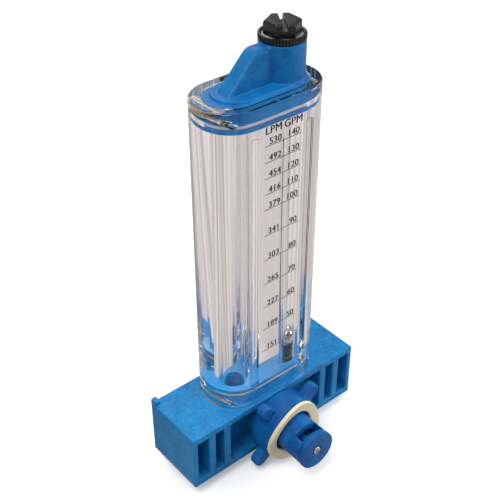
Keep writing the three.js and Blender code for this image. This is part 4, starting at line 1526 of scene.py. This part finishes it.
def soft_lamp(name, spot, aim, size, power):
    """A square soft light that looks at a point."""
    lamp = bpy.data.lights.new(name, "AREA")
    lamp.size = size
    lamp.energy = power
    holder = hold(name, lamp)
    holder.location = spot
    holder.rotation_euler = (Vector(aim) - Vector(spot)).to_track_quat("-Z", "Y").to_euler()


def studio_air():
    """A studio's surroundings: light ceiling, darker walls and a pale lower half."""
    world = bpy.data.worlds.new("studio")
    world.use_nodes = True
    made = Nodes(world.node_tree)
    where = made.add("ShaderNodeTexCoord", output="Generated")
    height = made.add("ShaderNodeSeparateXYZ", {}, {0: where}, "Z")
    stops = [(0.0, 0.75), (0.03, 0.34), (0.35, 0.42), (0.6, 0.8), (1.0, 1.0)]
    air = world.node_tree.nodes["Background"].inputs
    made.feed(air["Color"], made.add("ShaderNodeValToRGB", {"stops": stops}, {0: height}))
    made.feed(air["Strength"], 0.62)
    return world


class METER_OT_stage(bpy.types.Operator):
    """Set the floor, the soft lights and the camera"""

    bl_idname = "flow_meter.stage"
    bl_label = "Stage"

    def execute(self, context):
        stage = settings().stage
        clearance = 0.3 * MM
        floor_sheet(min(COLLAR_LOW.z, BLOCK_LOW.z) - clearance)
        middle = (0, 0, 0.1)
        for name, spot, size, power in LAMPS:
            soft_lamp(name, spot, middle, size, power)
        context.scene.world = studio_air()
        camera = bpy.data.cameras.new("camera")
        camera.lens = stage.lens
        camera.sensor_width = 36
        camera.clip_start = 0.01
        holder = hold("camera", camera)
        holder.location = stage.eye
        holder.rotation_euler = (math.pi / 2 - stage.pitch, 0, -stage.heading)
        context.scene.camera = holder
        context.scene.view_settings.view_transform = "Standard"
        return {"FINISHED"}


class METER_PT_panel(bpy.types.Panel):
    """Lists the pieces of the flow meter"""

    bl_idname = "METER_PT_panel"
    bl_label = "Flow meter"
    bl_space_type = "VIEW_3D"
    bl_region_type = "UI"
    bl_category = "Flow meter"

    def draw(self, context):
        for operator in OPERATORS:
            self.layout.operator(operator.bl_idname)
        for group in ("base", "body", "cap", "plug", "stem", "collar", "scale", "colours", "stage"):
            part = self.layout.box()
            part.label(text=group.capitalize())
            holder = getattr(settings(), group)
            for key in holder.bl_rna.properties.keys():
                if key not in ("rna_type", "name"):
                    part.prop(holder, key)


GROUPS = (BaseSizes, BodySizes, CapSizes, PlugSizes, StemSizes, CollarSizes, ScaleSizes, Colours,
          StageSettings, MeterSettings)
OPERATORS = (METER_OT_base, METER_OT_body, METER_OT_pins, METER_OT_seals, METER_OT_float,
             METER_OT_cap, METER_OT_plug, METER_OT_stem, METER_OT_collar, METER_OT_scale,
             METER_OT_stage)
CLASSES = GROUPS + OPERATORS + (METER_PT_panel,)


def register():
    """Registers every class and the settings."""
    for kind in CLASSES:
        bpy.utils.register_class(kind)
    bpy.types.Scene.flow_meter = bpy.props.PointerProperty(type=MeterSettings)


def unregister():
    """Takes the settings and every class away again."""
    del bpy.types.Scene.flow_meter
    for kind in reversed(CLASSES):
        bpy.utils.unregister_class(kind)


def main():
    """Builds every piece."""
    register()
    for operator in OPERATORS:
        family, word = operator.bl_idname.split(".")
        getattr(getattr(bpy.ops, family), word)()


if __name__ == "__main__":
    main()
